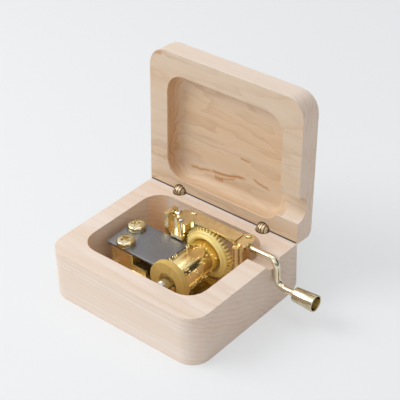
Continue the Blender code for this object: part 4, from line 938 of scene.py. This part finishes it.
def makeRing(node, look, sides=48):
    low, high = nodeBox(node)
    centre = (0, *nodeMiddle(node)[1:])
    r, bore, edge = (high[1] - low[1]) / 2, look["bore"], look["edge"]
    profile = roundCorners([(bore, low[0]), (r, low[0]), (r, high[0]), (bore, high[0])],
                           [edge / 2, edge, edge, edge / 2], 3)
    bm = lathe(profile, "X", centre, sides)
    finishPiece(look["name"], bm, look["finish"], node, "crank", crease=35)


knobLook = {"inner": 3.15, "outer": 3.7, "wall": 0.62, "bore": 1.8, "end": 1.6,
            "corners": (0, 0.5, 0.22, 0.22, 0.3, 0), "sides": 96}


def makeKnob(look):
    low, high = nodeBox("crank_knob")
    start, end, floor = low[0], high[0], low[0] + look["end"]
    inner, outer, wall, bore = (look[key] for key in ("inner", "outer", "wall", "bore"))
    profile = [(bore, start), (inner, start), (outer, end), (outer - wall, end),
               (inner - wall, floor), (bore, floor)]
    bm = lathe(roundCorners(profile, look["corners"], 6), "X", (0, shaftY, handleZ), look["sides"])
    finishPiece("crankKnob", bm, "knobGold", "crank_knob", "knob")


makeWire(wireLook)
makeWorm(wormLook)
for ringNode, ringValues in ringLook.items():
    makeRing(ringNode, ringValues)
makeKnob(knobLook)
print("music box: crank and knob made")


# Hinges: leaves cut from a ball, on a half barrel pressed into the base or the lid
hingeLook = {"ball": 3.0, "leaf": 0.88, "gap": 0.3, "leaves": 5, "lobe": 1.25, "edge": 0.14,
             "edgeBreak": 0.3, "barrel": 2.8, "barrelLength": 4.5, "barrelBack": 0.1,
             "barrelStart": 0.036, "barrelSides": 32, "lead": 0.96, "leadLength": 0.12,
             "lobeSteps": 12, "ballSteps": 20, "openAngle": 93.5}


def makeHingeHalf(node, name, look, body, up):
    middle = Vector(nodeMiddle("hinge_pin_" + node.split("_")[-1]))
    opened = -look["openAngle"] if up > 0 else 0
    turn = Matrix.Rotation(radians(opened), 3, "X")

    def placed(*place):
        return middle + turn @ Vector(place)

    bm = bmesh.new()
    root, flat, start = look["ball"] + look["gap"], -look["barrelBack"], look["barrelStart"]
    outline = [(x, min(y, flat)) for x, y in arcPoints(0, 0, look["barrel"], pi + start,
                                                       2 * pi - start, look["barrelSides"])]
    addLoops(bm, [[placed(x * share, (y - flat) * share + flat, up * z) for x, y in outline]
                  for share, z in ((look["lead"], root), (1, root + look["leadLength"]),
                                   (1, root + look["barrelLength"]))])
    width = look["leaves"] * look["leaf"] + (look["leaves"] - 1) * look["gap"]
    foot, edge = -(root + look["gap"]), look["edge"]
    small = edge * look["edgeBreak"]
    for leaf in range(1 if up > 0 else 0, look["leaves"], 2):
        low = leaf * (look["leaf"] + look["gap"]) - width / 2
        high = low + look["leaf"]
        loops = []
        for x, inset in ((low, edge), (low + small, small), (low + edge, 0), ((low + high) / 2, 0),
                         (high - edge, 0), (high - small, small), (high, edge)):
            r = sqrt(look["ball"] ** 2 - x ** 2) - inset
            lobe = min(look["lobe"], r)
            face = arcPoints(0, 0, lobe, -pi / 2, pi / 2, look["lobeSteps"]) \
                + arcPoints(0, 0, r, pi / 2, pi, look["ballSteps"]) + [(-r, foot), (flat, foot)]
            loops.append([placed(x, y, -up * z) for y, z in face])
        addLoops(bm, loops)
    finishPiece(name, bm, "oldBrass", node, body)


for hingeSide, hingeName in (("left", "Left"), ("right", "Right")):
    makeHingeHalf("hinge_base_" + hingeSide, "hingeBase" + hingeName, hingeLook, "box", -1)
    makeHingeHalf("hinge_lid_" + hingeSide, "hingeLid" + hingeName, hingeLook, "lid", 1)
print("music box: hinges made")


# CAD nodes that keep their shape, each with its finish and how far its edges are softened
nodeFinish = {"box_base": ("mapleBase", 0.25), "box_lid": ("mapleLid", 0.25),
              "bedplate": ("castGold", 0.22), "top_plate": ("plateGold", 0.1),
              "floor_screw_left": ("brightSteel", 0.15), "floor_screw_right": ("brightSteel", 0.15),
              "hinge_pin_left": ("oldBrass", 0.08), "hinge_pin_right": ("oldBrass", 0.08)}
nodeLook = {"weld": 1e-6, "flat": 0.4, "segments": 2, "sharp": 50}


def finishNode(node, finish, edge, look):
    mesh = node.data
    if "custom_normal" in mesh.attributes:
        mesh.attributes.remove(mesh.attributes["custom_normal"])
    mesh.polygons.foreach_set("use_smooth", [True] * len(mesh.polygons))
    mesh.materials.clear()
    mesh.materials.append(finish)
    flat, sharp = radians(look["flat"]), radians(look["sharp"])
    for kind, settings in (
            ("WELD", {"merge_threshold": look["weld"]}),
            ("DECIMATE", {"decimate_type": "DISSOLVE", "angle_limit": flat}),
            ("BEVEL", {"width": edge * mm, "segments": look["segments"],
                       "limit_method": "ANGLE", "angle_limit": sharp}),
            ("EDGE_SPLIT", {"split_angle": sharp}), ("WEIGHTED_NORMAL", {"keep_sharp": True})):
        modifier = node.modifiers.new(kind.lower(), kind)
        for key, value in settings.items():
            setattr(modifier, key, value)


for nodeName, (finishName, edgeWidth) in nodeFinish.items():
    finishNode(cadNodes[nodeName], finishes[finishName], edgeWidth, nodeLook)
print("music box: CAD nodes finished")


# Floor, backdrop and light. The floor is partly lit by itself where it is seen, so it is pale
# and still takes the shadow.
stageLook = {"floor": srgb(238, 240, 241), "backdrop": srgb(240, 242, 243), "share": 0.5,
             "half": 6.0, "roughness": 0.9, "shine": 0.1}


def anyRay(tree, kinds):
    path = addNode(tree, "ShaderNodeLightPath").outputs
    seen = path[kinds[0]]
    for kind in kinds[1:]:
        seen = sums(tree, "MAXIMUM", seen, path[kind])
    return seen


def makeStage(look):
    made, tree, shader = startMaterial("paleFloor")
    shader.inputs["Base Color"].default_value = (*look["floor"], 1)
    shader.inputs["Roughness"].default_value = look["roughness"]
    shader.inputs["Specular IOR Level"].default_value = look["shine"]
    seen = anyRay(tree, ("Is Camera Ray", "Is Glossy Ray", "Is Transmission Ray"))
    glow = addNode(tree, "ShaderNodeEmission", {"Color": (*look["backdrop"], 1), "Strength": 1.0})
    mixed = addNode(tree, "ShaderNodeMixShader", {0: times(tree, seen, look["share"]),
                                                  1: shader.outputs[0], 2: glow.outputs[0]})
    tree.links.new(mixed.outputs[0], tree.nodes["Material Output"].inputs["Surface"])
    half = look["half"]
    mesh = bpy.data.meshes.new("floor")
    mesh.from_pydata([(-half, -half, 0), (half, -half, 0), (half, half, 0), (-half, half, 0)],
                     [], [(0, 1, 2, 3)])
    mesh.materials.append(made)
    addObject("floor", mesh)


lampLook = {
    "window": {"place": (-0.46, -0.34, 0.58), "size": 0.5, "power": 3.6},
    "overhead": {"place": (0.05, 0.1, 0.95), "size": 0.6, "power": 1.2},
    "front": {"place": (0.35, -0.8, 0.35), "size": 0.4, "power": 0.7},
}
lampAim = (0, 0, 0.02)


def makeLamp(name, look, aim):
    data = bpy.data.lights.new(name, "AREA")
    data.shape = "RECTANGLE"
    data.size = data.size_y = look["size"]
    data.energy = look["power"]
    lamp = addObject(name, data)
    lamp.location = look["place"]
    way = Vector(aim) - Vector(look["place"])
    lamp.rotation_euler = way.to_track_quat("-Z", "Y").to_euler()


worldLook = {"fill": (0.46, 0.46, 0.4738), "high": (0.96, 0.97, 1.0), "low": (0.16, 0.14, 0.12),
             "rise": (0.1, 0.62), "corner": (0.05, 0.045, 0.04),
             "cornerSide": (0.7, 0.62, 0.35), "cornerEdge": (0.86, 0.95)}


def makeWorld(look):
    # Diffuse light is an even fill. Metal sees a bright ceiling that falls off to darker walls,
    # and one dark corner.
    world = bpy.data.worlds.new("studio")
    scene.world = world
    world.use_nodes = True
    tree = world.node_tree
    way = placeOn(tree, "Generated")
    room = mixColour(tree, spread(tree, axesOf(tree, way)[2], *look["rise"]), look["low"],
                     look["high"])
    side = Vector(look["cornerSide"]).normalized()
    toward = vectorSum(tree, "DOT_PRODUCT", way, tuple(side)).outputs["Value"]
    room = mixColour(tree, spread(tree, toward, *look["cornerEdge"]), room, look["corner"])
    seen = anyRay(tree, ("Is Glossy Ray", "Is Transmission Ray"))
    back = tree.nodes["Background"]
    tree.links.new(mixColour(tree, seen, look["fill"], room), back.inputs[0])
    back.inputs[1].default_value = 1


makeStage(stageLook)
for lampName, lampValues in lampLook.items():
    makeLamp(lampName, lampValues, lampAim)
makeWorld(worldLook)
scene.view_settings.view_transform = "Standard"
print("music box: stage and lamps made")
